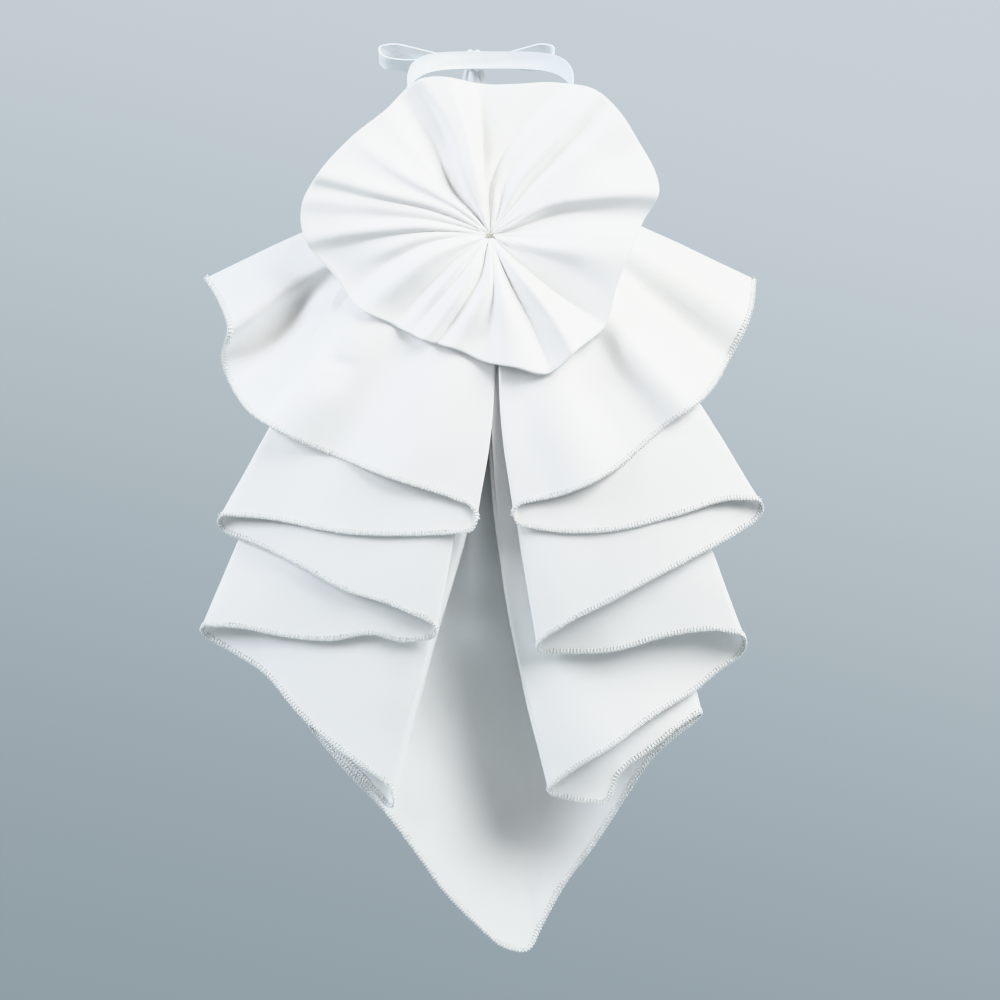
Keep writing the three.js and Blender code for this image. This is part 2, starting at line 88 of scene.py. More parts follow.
def softNoise(x, y, size, seed, waves=14, peak=1.6):
    # gentle unevenness between about -1 and 1, with humps of about the given size
    random = np.random.default_rng(seed)
    total = np.zeros(np.broadcast(x, y).shape)
    for _ in range(waves):
        turn = random.uniform(0, math.pi)
        pitch = size * random.uniform(0.7, 1.8)
        phase = random.uniform(0, 2 * math.pi)
        total += np.sin((x * math.cos(turn) + y * math.sin(turn)) * 2 * math.pi / pitch + phase)
    return np.clip(total / math.sqrt(waves), -peak, peak) / peak


def unit(vectors):
    return vectors / np.maximum(np.linalg.norm(vectors, axis=-1, keepdims=True), 1e-9)


def alongPath(points, distances):
    # the points at the given distances along a path
    steps = np.linalg.norm(np.diff(points, axis=0), axis=1)
    reached = np.concatenate([[0], np.cumsum(steps)])
    return np.stack([np.interp(distances, reached, points[:, k]) for k in range(points.shape[1])], axis=1)


def pathLength(points):
    return float(np.linalg.norm(np.diff(points, axis=0), axis=1).sum())


# Small tools for meshes

def addMesh(name, points, faces, material, smooth=True):
    mesh = bpy.data.meshes.new(name)
    mesh.from_pydata((np.asarray(points) * mm).tolist(), [], [list(map(int, f)) for f in faces])
    mesh.materials.append(material)
    mesh.polygons.foreach_set("use_smooth", [smooth] * len(mesh.polygons))
    mesh.validate()
    mesh.update()
    if smooth:
        mesh.set_sharp_from_angle(angle=math.radians(55))
    piece = bpy.data.objects.new(name, mesh)
    scene.collection.objects.link(piece)
    return piece


def gridSides(grid, wall, ring=False):
    # the two faces of a wall round a grid of points [column][row]
    if ring:
        along = np.roll(grid, -1, axis=0) - np.roll(grid, 1, axis=0)
    else:
        along = np.gradient(grid, axis=0)
    down = np.gradient(grid, axis=1)
    normal = unit(np.cross(along, down))
    half = (np.asarray(wall, float) / 2)[..., None] if np.ndim(wall) else wall / 2
    return grid + normal * half, grid - normal * half


def wallMesh(name, grid, wall, material, ring=False):
    # a closed thin wall round a grid of points, faces outwards
    columns, rows = grid.shape[:2]
    front, back = gridSides(grid, wall, ring)
    points = np.concatenate([front.reshape(-1, 3), back.reshape(-1, 3)])
    other = columns * rows
    spans = columns if ring else columns - 1
    i, j = np.meshgrid(np.arange(spans), np.arange(rows - 1), indexing="ij")
    i, j, following = i.ravel(), j.ravel(), (i.ravel() + 1) % columns
    a, b = i * rows + j, following * rows + j
    faces = [np.stack([a, b, b + 1, a + 1], 1), np.stack([a, a + 1, b + 1, b], 1) + other]
    i = np.arange(spans)
    a, b = i * rows, (i + 1) % columns * rows
    faces.append(np.stack([a, a + other, b + other, b], 1))
    a, b = a + rows - 1, b + rows - 1
    faces.append(np.stack([b, b + other, a + other, a], 1))
    if not ring:
        a = np.arange(rows - 1)
        faces.append(np.stack([a + 1, a + 1 + other, a + other, a], 1))
        a = a + (columns - 1) * rows
        faces.append(np.stack([a, a + other, a + 1 + other, a + 1], 1))
    faces = np.concatenate(faces)
    corners = points[faces]
    triangles = np.concatenate([corners[:, [0, 1, 2]], corners[:, [0, 2, 3]]])
    volume = np.einsum("ij,ij->i", triangles[:, 0], np.cross(triangles[:, 1], triangles[:, 2])).sum()
    if volume < 0:
        faces = faces[:, ::-1]
    return addMesh(name, points, faces, material)


def tubeFaces(count, sides):
    # the faces of a closed tube of that many rings
    faces = []
    for k in range(count - 1):
        for s in range(sides):
            a, b = k * sides + s, k * sides + (s + 1) % sides
            faces.append([a, b, b + sides, a + sides])
    faces.append(list(reversed(range(sides))))
    faces.append([(count - 1) * sides + s for s in range(sides)])
    return faces


def tubeAlong(path, radius, sides=8):
    # points and faces of a closed tube of the given radius along a path
    path = np.asarray(path, float)
    along = unit(np.gradient(path, axis=0))
    guide = np.array([0.0, 1.0, 0.0]) if abs(along[:, 1]).mean() < 0.8 else np.array([1.0, 0.0, 0.0])
    side = unit(np.cross(along, guide))
    up = np.cross(side, along)
    turns = np.arange(sides) * 2 * math.pi / sides
    radius = np.broadcast_to(radius, len(path))[:, None, None]
    ring = np.cos(turns)[None, :, None] * side[:, None, :] + np.sin(turns)[None, :, None] * up[:, None, :]
    return (path[:, None, :] + ring * radius).reshape(-1, 3), tubeFaces(len(path), sides)


def joinParts(name, parts, material):
    # one piece of several closed shells
    points, faces, start = [], [], 0
    for partPoints, partFaces in parts:
        points.append(partPoints)
        faces.extend([[v + start for v in face] for face in partFaces])
        start += len(partPoints)
    return outwards(addMesh(name, np.concatenate(points), faces, material))


def outwards(piece):
    # turns every closed shell of a mesh so that its faces point out
    work = bmesh.new()
    work.from_mesh(piece.data)
    bmesh.ops.recalc_face_normals(work, faces=work.faces)
    work.to_mesh(piece.data)
    work.free()
    return piece


# Materials

def linear(hexColour):
    parts = [int(hexColour[i:i + 2], 16) / 255 for i in (1, 3, 5)]
    return tuple(c / 12.92 if c <= 0.04045 else ((c + 0.055) / 1.055) ** 2.4 for c in parts) + (1.0,)


def addNode(tree, kind, settings=None, values=None):
    # one node, with its settings, and each input given a value or linked to another node's output
    node = tree.nodes.new(kind)
    for key, value in (settings or {}).items():
        setattr(node, key, value)
    for key, value in (values or {}).items():
        socket = node.inputs[key]
        if isinstance(value, bpy.types.NodeSocket):
            tree.links.new(value, socket)
        else:
            socket.default_value = value
    return node


def newMaterial(name):
    material = bpy.data.materials.new(name)
    material.use_nodes = True
    material.node_tree.nodes.clear()
    return material, material.node_tree


def finishMaterial(tree, shader):
    addNode(tree, "ShaderNodeOutputMaterial", None, {"Surface": shader.outputs[0]})


def satinMaterial(name, look):
    # woven polyester satin: floats of smooth filament give a soft, broad gloss over fine rows of thread
    material, tree = newMaterial(name)
    place = addNode(tree, "ShaderNodeTexCoord").outputs["Object"]
    threads = addNode(tree, "ShaderNodeMapping", None, {
        "Vector": place, "Rotation": (0, math.radians(look["grain"]), 0)}).outputs[0]
    rows = 2 * math.pi / (look["thread"] * mm) / 20  # the wave texture has 20 radians to a unit
    warp = addNode(tree, "ShaderNodeTexWave", {"bands_direction": "X"}, {
        "Vector": threads, "Scale": rows, "Distortion": 0.6, "Detail": 1.0})
    weft = addNode(tree, "ShaderNodeTexWave", {"bands_direction": "Z"}, {
        "Vector": threads, "Scale": rows / 2, "Distortion": 0.8, "Detail": 1.0})
    weave = addNode(tree, "ShaderNodeMix", {"data_type": "FLOAT"}, {
        "Factor": 0.35, "A": warp.outputs["Fac"], "B": weft.outputs["Fac"]}).outputs[0]
    cloud = addNode(tree, "ShaderNodeTexNoise", None, {
        "Vector": place, "Scale": look["cloud"], "Detail": 3.0, "Roughness": 0.55}).outputs["Fac"]
    tint = addNode(tree, "ShaderNodeMix", {"data_type": "RGBA"}, {
        "Factor": cloud, "A": linear(look["shade"]), "B": linear(look["colour"])}).outputs[2]
    threadTone = addNode(tree, "ShaderNodeMapRange", None, {
        "Value": weave, "To Min": look["threadDark"], "To Max": 1.0}).outputs[0]
    colour = addNode(tree, "ShaderNodeVectorMath", {"operation": "SCALE"}, {
        "Vector": tint, "Scale": threadTone}).outputs[0]
    roughness = addNode(tree, "ShaderNodeMapRange", None, {
        "Value": cloud, "From Min": 0.3, "From Max": 0.7,
        "To Min": look["roughness"] - 0.04, "To Max": look["roughness"] + 0.05}).outputs[0]
    relief = addNode(tree, "ShaderNodeBump", None, {
        "Height": weave, "Strength": look["relief"], "Distance": 0.05 * mm}).outputs[0]
    shader = addNode(tree, "ShaderNodeBsdfPrincipled", None, {
        "Base Color": colour, "Roughness": roughness, "Normal": relief, "IOR": 1.5,
        "Specular IOR Level": look["gloss"], "Sheen Weight": look["sheen"], "Sheen Roughness": 0.4})
    finishMaterial(tree, shader)
    return material


def threadMaterial(name, look):
    # twisted spun thread: dull, with fine fibres, and painted shade for the gaps between the plies, set in
    # fine random patches by noise
    material, tree = newMaterial(name)
    place = addNode(tree, "ShaderNodeTexCoord").outputs["Object"]
    fibresAndPlyShade = addNode(tree, "ShaderNodeTexNoise", None, {
        "Vector": place, "Scale": look["fibre"], "Detail": 4.0, "Roughness": 0.6}).outputs["Fac"]
    # the darker colour is painted shade between the plies, mixed in by the same noise that roughens the
    # fibres
    colour = addNode(tree, "ShaderNodeMix", {"data_type": "RGBA"}, {
        "Factor": fibresAndPlyShade, "A": linear(look["shade"]), "B": linear(look["colour"])}).outputs[2]
    relief = addNode(tree, "ShaderNodeBump", None, {
        "Height": fibresAndPlyShade, "Strength": 0.5, "Distance": 0.1 * mm}).outputs[0]
    roughness = addNode(tree, "ShaderNodeMapRange", None, {
        "Value": fibresAndPlyShade, "To Min": 0.65, "To Max": 0.85}).outputs[0]
    shader = addNode(tree, "ShaderNodeBsdfPrincipled", None, {
        "Base Color": colour, "Roughness": roughness, "Normal": relief, "Sheen Weight": 0.3})
    finishMaterial(tree, shader)
    return material


finishes = {
    "satin": {"colour": "#F8F8F7", "shade": "#F3F3F2", "thread": 0.5, "threadDark": 0.985, "cloud": 28.0,
              "roughness": 0.42, "gloss": 0.5, "sheen": 0.15, "relief": 0.25, "grain": 12},
    "ribbon": {"colour": "#F7F8F8", "shade": "#F1F3F4", "thread": 0.4, "threadDark": 0.97, "cloud": 60.0,
               "roughness": 0.36, "gloss": 0.5, "sheen": 0.15, "relief": 0.3, "grain": 0},
    "hemThread": {"colour": "#F3F4F3", "shade": "#E2E4E3", "fibre": 2200.0},
    "rosetteThread": {"colour": "#DEDBD2", "shade": "#B8B3A6", "fibre": 2600.0},
}
polyesterSatin = satinMaterial("polyester_satin", finishes["satin"])
satinRibbon = satinMaterial("satin_ribbon", finishes["ribbon"])
overlockThread = threadMaterial("spun_polyester_thread", finishes["hemThread"])
sewingThread = threadMaterial("cotton_sewing_thread", finishes["rosetteThread"])
print("materials made")


# Ruffle cascade

cascade = {
    "top": -39, "wall": 0.45,  # level of the gather, and thickness of the cloth
    "rows": 62, "spacing": 5.0,  # points down the cloth, and how far apart its columns are
    "fineRows": 220,  # points down the finer sampling that they are taken from
    "hemEase": 1.7,  # how late down the cloth the hem's own line shows
    "nose": 4.0, "noseFrom": 0.8, "turnSteps": 9,  # roundness of a fold at the hem, its start and its steps
    "drawnTo": 1.3,  # the rearmost layer that is drawn fully towards the front one
    "fluteFrom": 0.15,  # how far down the flutes start
    "rollCurve": 2.3,  # how sharply a panel's edge rolls back
    "creaseEnd": 0.12, "creaseFade": 0.6,  # how dents and swells fade towards the ends of their lines
    "loopFrom": 0.35, "loopFull": 0.95,  # how far down a fold its loop opens, and is fully open
    "loopPast": 10, "loopGone": 70, "loopBlend": 4,  # how far below the hem a loop fades, and how loops merge
    "unevenness": 0.13,  # of the cloth, as a share of the layers' pitch
    "waves": [{"size": 60, "seed": 11, "share": 0.6}, {"size": 26, "seed": 12, "share": 0.25}],
    "pleat": 46, "pleatDepth": 0.25, "pleatTo": 0.3,  # small pleats below the gather: width, depth and end
    "pleatSize": 160, "pleatWander": 2, "pleatSeed": 13,  # and how their widths vary
    "hemEnds": [5.0, 3.4, 2.0, 0.9, 0.0],  # the last rows' distances from the edge
    "hemClear": 1.6,  # where the even rows end, in multiples of the first of those
}

# the front of the cloth at each level down, how far it sweeps back 100 mm out, the pitch of its layers, and
# how much the hidden ones are drawn to the front one, from 0 to 1
drape = {
    "level": [39, 75, 120, 190, 280, 360, 460, 570],
    "front": [62, 74, 88, 104, 114, 116, 114, 112],
    "sweep": [80, 34, 18, 13, 11, 10, 9, 8],
    "pitch": [3.0, 3.2, 3.6, 4.4, 5.0, 5.2, 5.2, 5.2],
    "close": [0.2, 0.4, 0.65, 0.8, 0.45, 0.1, 0, 0],
}

# fold lines in order along the cloth: side, sideways place at these shares of the way down, level of the
# hem, and how much lower the hem is behind the fold
foldHeights = [0, 0.5, 0.75, 1]
folds = table(
    ("name", "side", "line", "hem", "drop"),
    ("left corner", 0, [-46, -101, -146, -191], -124, 0),
    ("left inner 1", 1, [-1, 3.5, 0.9, -8.5], -279, 16),
    ("left outer 1", -1, [-50, -114.5, -143.6, -178.4], -283.5, 11),
    ("left inner 2", 1, [-6, -8, -20, -34.6], -352, 10),
    ("left outer 2", -1, [-52, -122, -156.5, -191.2], -356, 8),
    ("left inner 3", 1, [-12, -9, -36, -63.5], -467, 20),
    ("left outer 3", -1, [-50, -92, -108, -119.5], -418, 6),
    ("right outer 3", 1, [44, 92, 119, 140.6], -412, 4),
    ("right inner 3", -1, [-7, 0.5, 14.5, 38.5], -461, 6),
    ("right outer 2", 1, [44, 104.5, 137.5, 169.5], -365, 14),
    ("right inner 2", -1, [3, 7, 17.5, 31], -363, 9),
    ("right outer 1", 1, [42, 105, 142, 179], -274.5, 12),
    ("right inner 1", -1, [4, 5.5, 7.5, 15.5], -276, 13),
    ("right corner", 0, [40, 86, 131, 177], -125, 0),
)
foldNames = [fold["name"] for fold in folds]

# panels between the fold lines, each with its layer counted forward and its hem from fold to fold
panels = table(
    ("name", "layer", "hem"),
    ("left front", 7.7,
     [[-179, -140], [-172, -157], [-177, -178], [-162, -206], [-129, -226], [-75, -248], [-29, -263]]),
    ("left 2", 6.8, [[-52, -289], [-95, -288], [-143, -280]]),
    ("left 3", 6.1, [[-146, -300], [-120, -312], [-95, -325], [-65, -334]]),
    ("left 4", 4.7, [[-58, -359], [-77, -354.5], [-105, -359], [-137, -357], [-164, -352.5]]),
    ("left 5", 3.8, [[-164, -373.5], [-148, -383.5], [-122, -412], [-97, -433]]),
    ("left 6", 1.3, [[-93, -443]]),
    ("back", 0,
     [[-96, -448], [-68, -478], [-45.5, -509], [-30, -532], [-1, -563.5], [8, -571], [25, -574.5],
      [34, -559], [49, -531], [69, -503], [88.5, -471], [107, -442], [123, -427]]),
    ("right 6", 1.2, [[123, -421], [106, -434], [86, -449], [77, -468], [62, -468]]),
    ("right 5", 3, [[58, -443], [80, -430], [109, -410], [136, -395], [149, -385]]),
    ("right 4", 3.9, [[146, -354], [116, -357], [80, -366]]),
    ("right 3", 6.1, [[54, -344], [75, -334], [108, -317], [137, -303], [157, -293]]),
    ("right 2", 6.8, [[155, -268], [122, -277], [82, -286], [47, -287]]),
    ("right front", 7.7, [[48, -262], [79, -248], [116, -218], [144, -197], [162, -169], [173, -145]]),
)

# soft flutes from the gather to the hem: place across the panel, half width there, and rise at the hem
flutes = table(
    ("panel", "at", "reach", "rise"),
    ("left front", 0.14, 0.11, 11),
    ("left front", 0.3, 0.13, -10),
    ("left front", 0.47, 0.2, 12),
    ("left front", 0.62, 0.12, -1.5),
    ("left front", 0.82, 0.16, 5),
    ("right front", 0.2, 0.16, 6),
    ("right front", 0.4, 0.1, -1),
    ("right front", 0.56, 0.12, 9),
    ("right front", 0.74, 0.1, -9),
    ("right front", 0.9, 0.1, 5),
)

# soft rolls of a front panel's edge at a fold: how far the edge turns back, and from how far in it starts
rolls = {
    "left inner 1": {"back": 2.5, "width": 16},
    "right inner 1": {"back": 2.2, "width": 14},
    "left inner 2": {"back": 2.5, "width": 14},
    "right inner 2": {"back": 3.5, "width": 18},
    "left inner 3": {"back": 4.5, "width": 26},
    "right inner 3": {"back": 5.5, "width": 34},
}

# how far back the cloth behind a fold lies, which opens the loop at the hem, and how far in that reaches
loops = table(
    ("name", "behind", "reach"),
    ("left inner 1", 2, 40),
    ("left outer 1", 6.5, 70),
    ("left inner 2", 1.5, 35),
    ("left outer 2", 8, 80),
    ("left inner 3", 4, 40),
    ("right inner 3", 4, 40),
    ("right outer 2", 13, 170),
    ("right inner 2", 3, 50),
    ("right outer 1", 7, 80),
    ("right inner 1", 2, 40),
)

# broad scoops in a panel: place across and half width, how far down it starts and is deepest, its rise
# there and at the hem, and the power of its cross section
scoops = [
    {"panel": "back", "at": 0.58, "reach": 0.42, "start": 0.4, "deepest": 0.73, "rise": -46, "hem": -30,
     "power": 0.7},
]

# soft dents and swells in a panel: a line of [x, z] places, how wide it is, and how far it stands forward
creases = table(
    ("panel", "line", "width", "rise"),
    ("left front", [[-98, -172], [-99, -186]], 10, -4.5),
    ("left front", [[-118, -108], [-133, -158], [-155, -192]], 18, -8),
    ("right 5", [[-1, -165], [2, -300]], 9, 2.8),
    ("back", [[-8, -200], [-12, -345]], 17, 16),
)


def drapeAt(column, z):
    # one column of the drape table at a level
    return through(drape["level"], drape[column], -z)


def clothDepth(x, z, layer):
    # the ruffles' layers lie close behind the front one, and the back panel keeps its distance
    foremost = panels[0]["layer"]
    drawn = drapeAt("close", z) * smoothstep(0, cascade["drawnTo"], layer)
    pressed = layer + (foremost - layer) * drawn
    depth = -drapeAt("front", z) + drapeAt("sweep", z) * (x / 100) ** 2 - drapeAt("pitch", z) * pressed
    return depth + loopDepth(x, z, layer)


def loopDepth(x, z, layer):
    # how far the open loops push the layers behind them back
    total = 0
    for loop in loops:
        k = foldNames.index(loop["name"])
        fold, (before, behind) = folds[k], layersAt(k)
        hidden = np.clip((max(before, behind) - layer) / abs(before - behind), 0, 1)
        down = np.clip((z - cascade["top"]) / (fold["hem"] - cascade["top"]), 0, 1)
        away = np.abs(x - through(foldHeights, fold["line"], down))
        near = smoothstep(0, 1, 1 - away / loop["reach"])
        near = near * smoothstep(cascade["loopFrom"], cascade["loopFull"], down)
        past = 1 - smoothstep(cascade["loopPast"], cascade["loopGone"], fold["hem"] - z)
        total = total + (loop["behind"] * hidden * near * past) ** cascade["loopBlend"]
    return total ** (1 / cascade["loopBlend"])


def layersAt(k):
    # the layers before and behind fold k along the cloth
    return panels[max(k - 1, 0)]["layer"], panels[min(k, len(panels) - 1)]["layer"]


def hemSlope(k, edge):
    # how steeply the hem rises to the right where it comes to fold k (edge 0) or leaves it (edge 1)
    if not 0 <= k - 1 + edge < len(panels):
        return 0
    fold, panel = folds[k], panels[k - 1 + edge]
    before, behind = layersAt(k)
    frontness = 1 if (before > behind) == (edge == 0) else -1
    x, z = panel["hem"][edge - 1]
    return (fold["hem"] + frontness * fold["drop"] / 2 - z) / (fold["line"][3] - x)


def foldPoint(k, turn, v):
    # a point of fold k, v of the way down, where turn runs from 0 before the fold to 1 behind it
    fold = folds[k]
    before, behind = layersAt(k)
    level = (1 - math.cos(turn * math.pi)) / 2
    layer = before + (behind - before) * level
    frontness = 1 - 2 * level if before > behind else 2 * level - 1
    straight = lerp(cascade["top"], fold["hem"] + frontness * fold["drop"] / 2, v)
    rounding = smoothstep(cascade["noseFrom"], 1, v)
    radius = drapeAt("pitch", straight) / 2 + cascade["nose"] * rounding
    inset = fold["side"] * radius * (1 - math.sin(turn * math.pi))
    z = straight - hemSlope(k, 0 if turn < 0.5 else 1) * inset * rounding
    x = through(foldHeights, fold["line"], v) - inset
    return np.stack([x, z], 1), layer


def centripetal(points, samples=24):
    # a centripetal curve through the points, finely sampled
    points = np.asarray(points, float)
    points = np.concatenate([[2 * points[0] - points[1]], points, [2 * points[-1] - points[-2]]])
    path = []
    for a, b, c, d in zip(points, points[1:], points[2:], points[3:]):
        gaps = [max(np.linalg.norm(q - p) ** 0.5, 1e-4) for p, q in ((a, b), (b, c), (c, d))]
        leave = ((b - a) / gaps[0] - (c - a) / (gaps[0] + gaps[1]) + (c - b) / gaps[1]) * gaps[1]
        arrive = ((c - b) / gaps[1] - (d - b) / (gaps[1] + gaps[2]) + (d - c) / gaps[2]) * gaps[1]
        t = np.linspace(0, 1, samples, endpoint=False)[:, None]
        path.append((2 * t ** 3 - 3 * t ** 2 + 1) * b + (t ** 3 - 2 * t ** 2 + t) * leave
                    + (3 * t ** 2 - 2 * t ** 3) * c + (t ** 3 - t ** 2) * arrive)
    return np.concatenate(path + [points[-2:-1]])


def rollBack(k, away, z):
    # how far back the front panel's cloth lies at a distance from fold k
    roll = rolls.get(folds[k]["name"])
    if roll is None:
        return 0 * away
    edge = np.clip(1 - away / roll["width"], 0, 1) ** cascade["rollCurve"]
    return roll["back"] * (1 - drapeAt("close", z)) * edge


def ownRows(rows, panel):
    # the rows of a table that belong to a panel
    return [row for row in rows if row["panel"] == panel["name"]]


def panelColumns(k, spacing, down):
    # a panel's columns of points, from just behind its first fold to just before its second
    panel = panels[k]
    first = foldPoint(k, 1, down)[0]
    second = foldPoint(k + 1, 0, down)[0]
    hem = centripetal([first[-1], *panel["hem"], second[-1]])
    length = pathLength(hem)
    steps = max(3, math.ceil(length / spacing))
    across = np.linspace(0, 1, steps + 1)
    bulge = alongPath(hem, across * length) - lerp(first[-1], second[-1], across[:, None])
    rise = np.zeros(len(across))
    for flute in ownRows(flutes, panel):
        rise = rise + flute["rise"] * bump((across - flute["at"]) / flute["reach"])
    flat = lerp(first[None], second[None], across[:, None, None])
    flat = flat + bulge[:, None, :] * (down ** cascade["hemEase"])[None, :, None]
    x, z = flat[..., 0], flat[..., 1]
    forward = rise[:, None] * smoothstep(cascade["fluteFrom"], 1, down)[None]
    for scoop in ownRows(scoops, panel):
        depth = through([0, scoop["start"], scoop["deepest"], 1], [0, 0, scoop["rise"], scoop["hem"]], down)
        section = bump((across - scoop["at"]) / scoop["reach"]) ** scoop["power"]
        forward = forward + section[:, None] * depth[None]
    for crease in ownRows(creases, panel):
        forward = forward + creaseRise(crease, flat)
    y = clothDepth(x, z, panel["layer"]) - forward
    if k > 0 and panel["layer"] > panels[k - 1]["layer"]:
        y = y + rollBack(k, np.abs(x - first[None, :, 0]), z)
    if k + 1 < len(panels) and panel["layer"] > panels[k + 1]["layer"]:
        y = y + rollBack(k + 1, np.abs(x - second[None, :, 0]), z)
    return np.stack([x, y, z], -1), across * length


def creaseRise(crease, flat):
    # how far a dent or swell moves the cloth forward at each place
    line = np.asarray(crease["line"], float)
    total, start, end = pathLength(line), 0, cascade["creaseEnd"]
    rise, nearest = np.zeros(flat.shape[:2]), np.full(flat.shape[:2], np.inf)
    for a, b in zip(line, line[1:]):
        length = np.linalg.norm(b - a)
        t = np.clip(((flat - a) @ (b - a)) / length ** 2, 0, 1)
        away = np.linalg.norm(flat - a - t[..., None] * (b - a), axis=-1)
        fade = np.sin(math.pi * np.clip((start + t * length) / total, end, 1 - end)) ** cascade["creaseFade"]
        value = crease["rise"] * fade * np.exp(-(away / crease["width"]) ** 2)
        rise = np.where(away < nearest, value, rise)
        nearest = np.minimum(nearest, away)
        start += length
    return rise


def foldColumns(k, down):
    # the columns of points round fold k
    columns = []
    for i in range(1, cascade["turnSteps"]):
        turn = i / cascade["turnSteps"]
        flat, layer = foldPoint(k, turn, down)
        front = 1 - turn if panels[k - 1]["layer"] > panels[k]["layer"] else turn
        x, z = flat[:, 0], flat[:, 1]
        y = clothDepth(x, z, layer) + rollBack(k, 0 * down, z) * smoothstep(0, 1, front)
        columns.append(np.stack([x, y, z], -1))
    return np.array(columns)


def cascadeSurface(spacing):
    # columns of points down the cloth from the gather to the hem, and each column's place along the hem
    down = np.linspace(0, 1, cascade["fineRows"])
    blocks, places, start = [], [], 0
    for k in range(len(panels)):
        if k > 0:
            blocks.append(foldColumns(k, down))
            width = drapeAt("pitch", folds[k]["hem"]) / 2 * math.pi
            places.append(start + width * np.arange(1, cascade["turnSteps"]) / cascade["turnSteps"])
            start += width
        columns, across = panelColumns(k, spacing, down)
        blocks.append(columns)
        places.append(start + across)
        start += across[-1]
    grid, place = np.concatenate(blocks), np.concatenate(places)
    normal = unit(np.cross(np.gradient(grid, axis=0), np.gradient(grid, axis=1)))
    steps = np.linalg.norm(np.diff(grid, axis=1), axis=2)
    run = np.concatenate([np.zeros((len(grid), 1)), np.cumsum(steps, axis=1)], axis=1)
    spread = place[:, None] + np.zeros_like(run)
    uneven = sum(softNoise(spread, run, row["size"], row["seed"]) * row["share"] for row in cascade["waves"])
    wander = cascade["pleatWander"] * softNoise(spread, run * 0, cascade["pleatSize"], cascade["pleatSeed"])
    gathers = np.cos(2 * math.pi * spread / cascade["pleat"] + wander)
    gathers = gathers * (1 - smoothstep(0, cascade["pleatTo"], down))[None]
    level = grid[..., 2]
    pitch = drapeAt("pitch", level) * (1 - drapeAt("close", level))
    offset = pitch * (cascade["unevenness"] * uneven + cascade["pleatDepth"] * gathers)
    return grid + normal * offset[..., None], place


def hemRows(grid, rows, ends):
    # the columns sampled again: evenly down to the hem band, then at fixed distances from the edge
    result = np.zeros((len(grid), rows + len(ends), 3))
    for i, column in enumerate(grid):
        length = pathLength(column)
        even = np.linspace(0, length - ends[0] * cascade["hemClear"], rows)
        result[i] = alongPath(column, np.concatenate([even, length - np.array(ends)]))
    return result


surface, hemPlaces = cascadeSurface(cascade["spacing"])
cascadeGrid = hemRows(surface, cascade["rows"], cascade["hemEnds"])
ruffleCloth = wallMesh("ruffle_cloth", cascadeGrid, cascade["wall"], polyesterSatin)
sideEdges = cascadeGrid[1:, :-1] - cascadeGrid[:-1, :-1]
downEdges = cascadeGrid[:-1, 1:] - cascadeGrid[:-1, :-1]
clothArea = np.linalg.norm(np.cross(sideEdges, downEdges), axis=2).sum() * mm * mm
print("ruffle cloth made: hem", round(float(hemPlaces[-1])), "mm, area", round(float(clothArea), 3),
      "square metres,", len(ruffleCloth.data.polygons), "faces")


# Overlocked hem: a lumpy band along the edge, wrapped in loops of thread by geometry nodes

overlock = {
    "pitch": 2.2, "width": 2.7, "height": 0.5, "thread": 0.36,  # loops of thread, coarse enough to show
    "unevenness": 0.12, "seed": 7,
    "needle": -0.95, "turn": 1.6, "half": 0.62, "slant": 0.3, "edgeHeight": 0.5,  # a loop's shape
    "band": 0.8, "sides": 8, "overEdge": 0.25,  # thickness of the band, and how far it stands over the edge
    "bandPitch": 1.5, "bandReach": 0.08, "bandLump": 0.25,  # rings to a stitch, and their unevenness
    "spacing": 2.0, "inner": 4.0,  # sampling of the edge, and how far in its outward direction is taken
}


def hemFrames(pitch):
    # evenly spaced places along the hem, with the directions along it, out past the edge, and off the cloth
    fine, _ = cascadeSurface(overlock["spacing"])
    edge, inner = fine[:, -1], hemRows(fine, 2, [overlock["inner"], 0.0])[:, -2]
    length = pathLength(edge)
    distances = np.linspace(0, length, round(length / pitch) + 1)
    steps = np.concatenate([[0], np.cumsum(np.linalg.norm(np.diff(edge, axis=0), axis=1))])
    place, inside = (np.stack([np.interp(distances, steps, line[:, k]) for k in range(3)], 1)
                     for line in (edge, inner))
    along = unit(np.gradient(place, axis=0))
    outward = unit(place - inside)
    outward = unit(outward - along * np.sum(outward * along, axis=1, keepdims=True))
    return place, along, outward, np.cross(along, outward)


def hemBand():
    # points and faces of the lumpy band along the edge
    place, _, outward, off = hemFrames(overlock["pitch"] / overlock["bandPitch"])
    random = np.random.default_rng(overlock["seed"])
    turns = np.arange(overlock["sides"]) * 2 * math.pi / overlock["sides"]
    uneven, lump, count = overlock["bandReach"], overlock["bandLump"], len(place)
    reach = overlock["width"] / 2 * (1 + random.uniform(-uneven, uneven, count))
    thick = overlock["band"] / 2 * (1 + random.uniform(-lump, lump, count))
    across = np.cos(turns)[None, :] * reach[:, None] - (reach - overlock["overEdge"])[:, None]
    lift = np.sin(turns)[None, :] * thick[:, None]
    ring = place[:, None] + outward[:, None] * across[..., None] + off[:, None] * lift[..., None]
    return ring.reshape(-1, 3), tubeFaces(count, overlock["sides"])


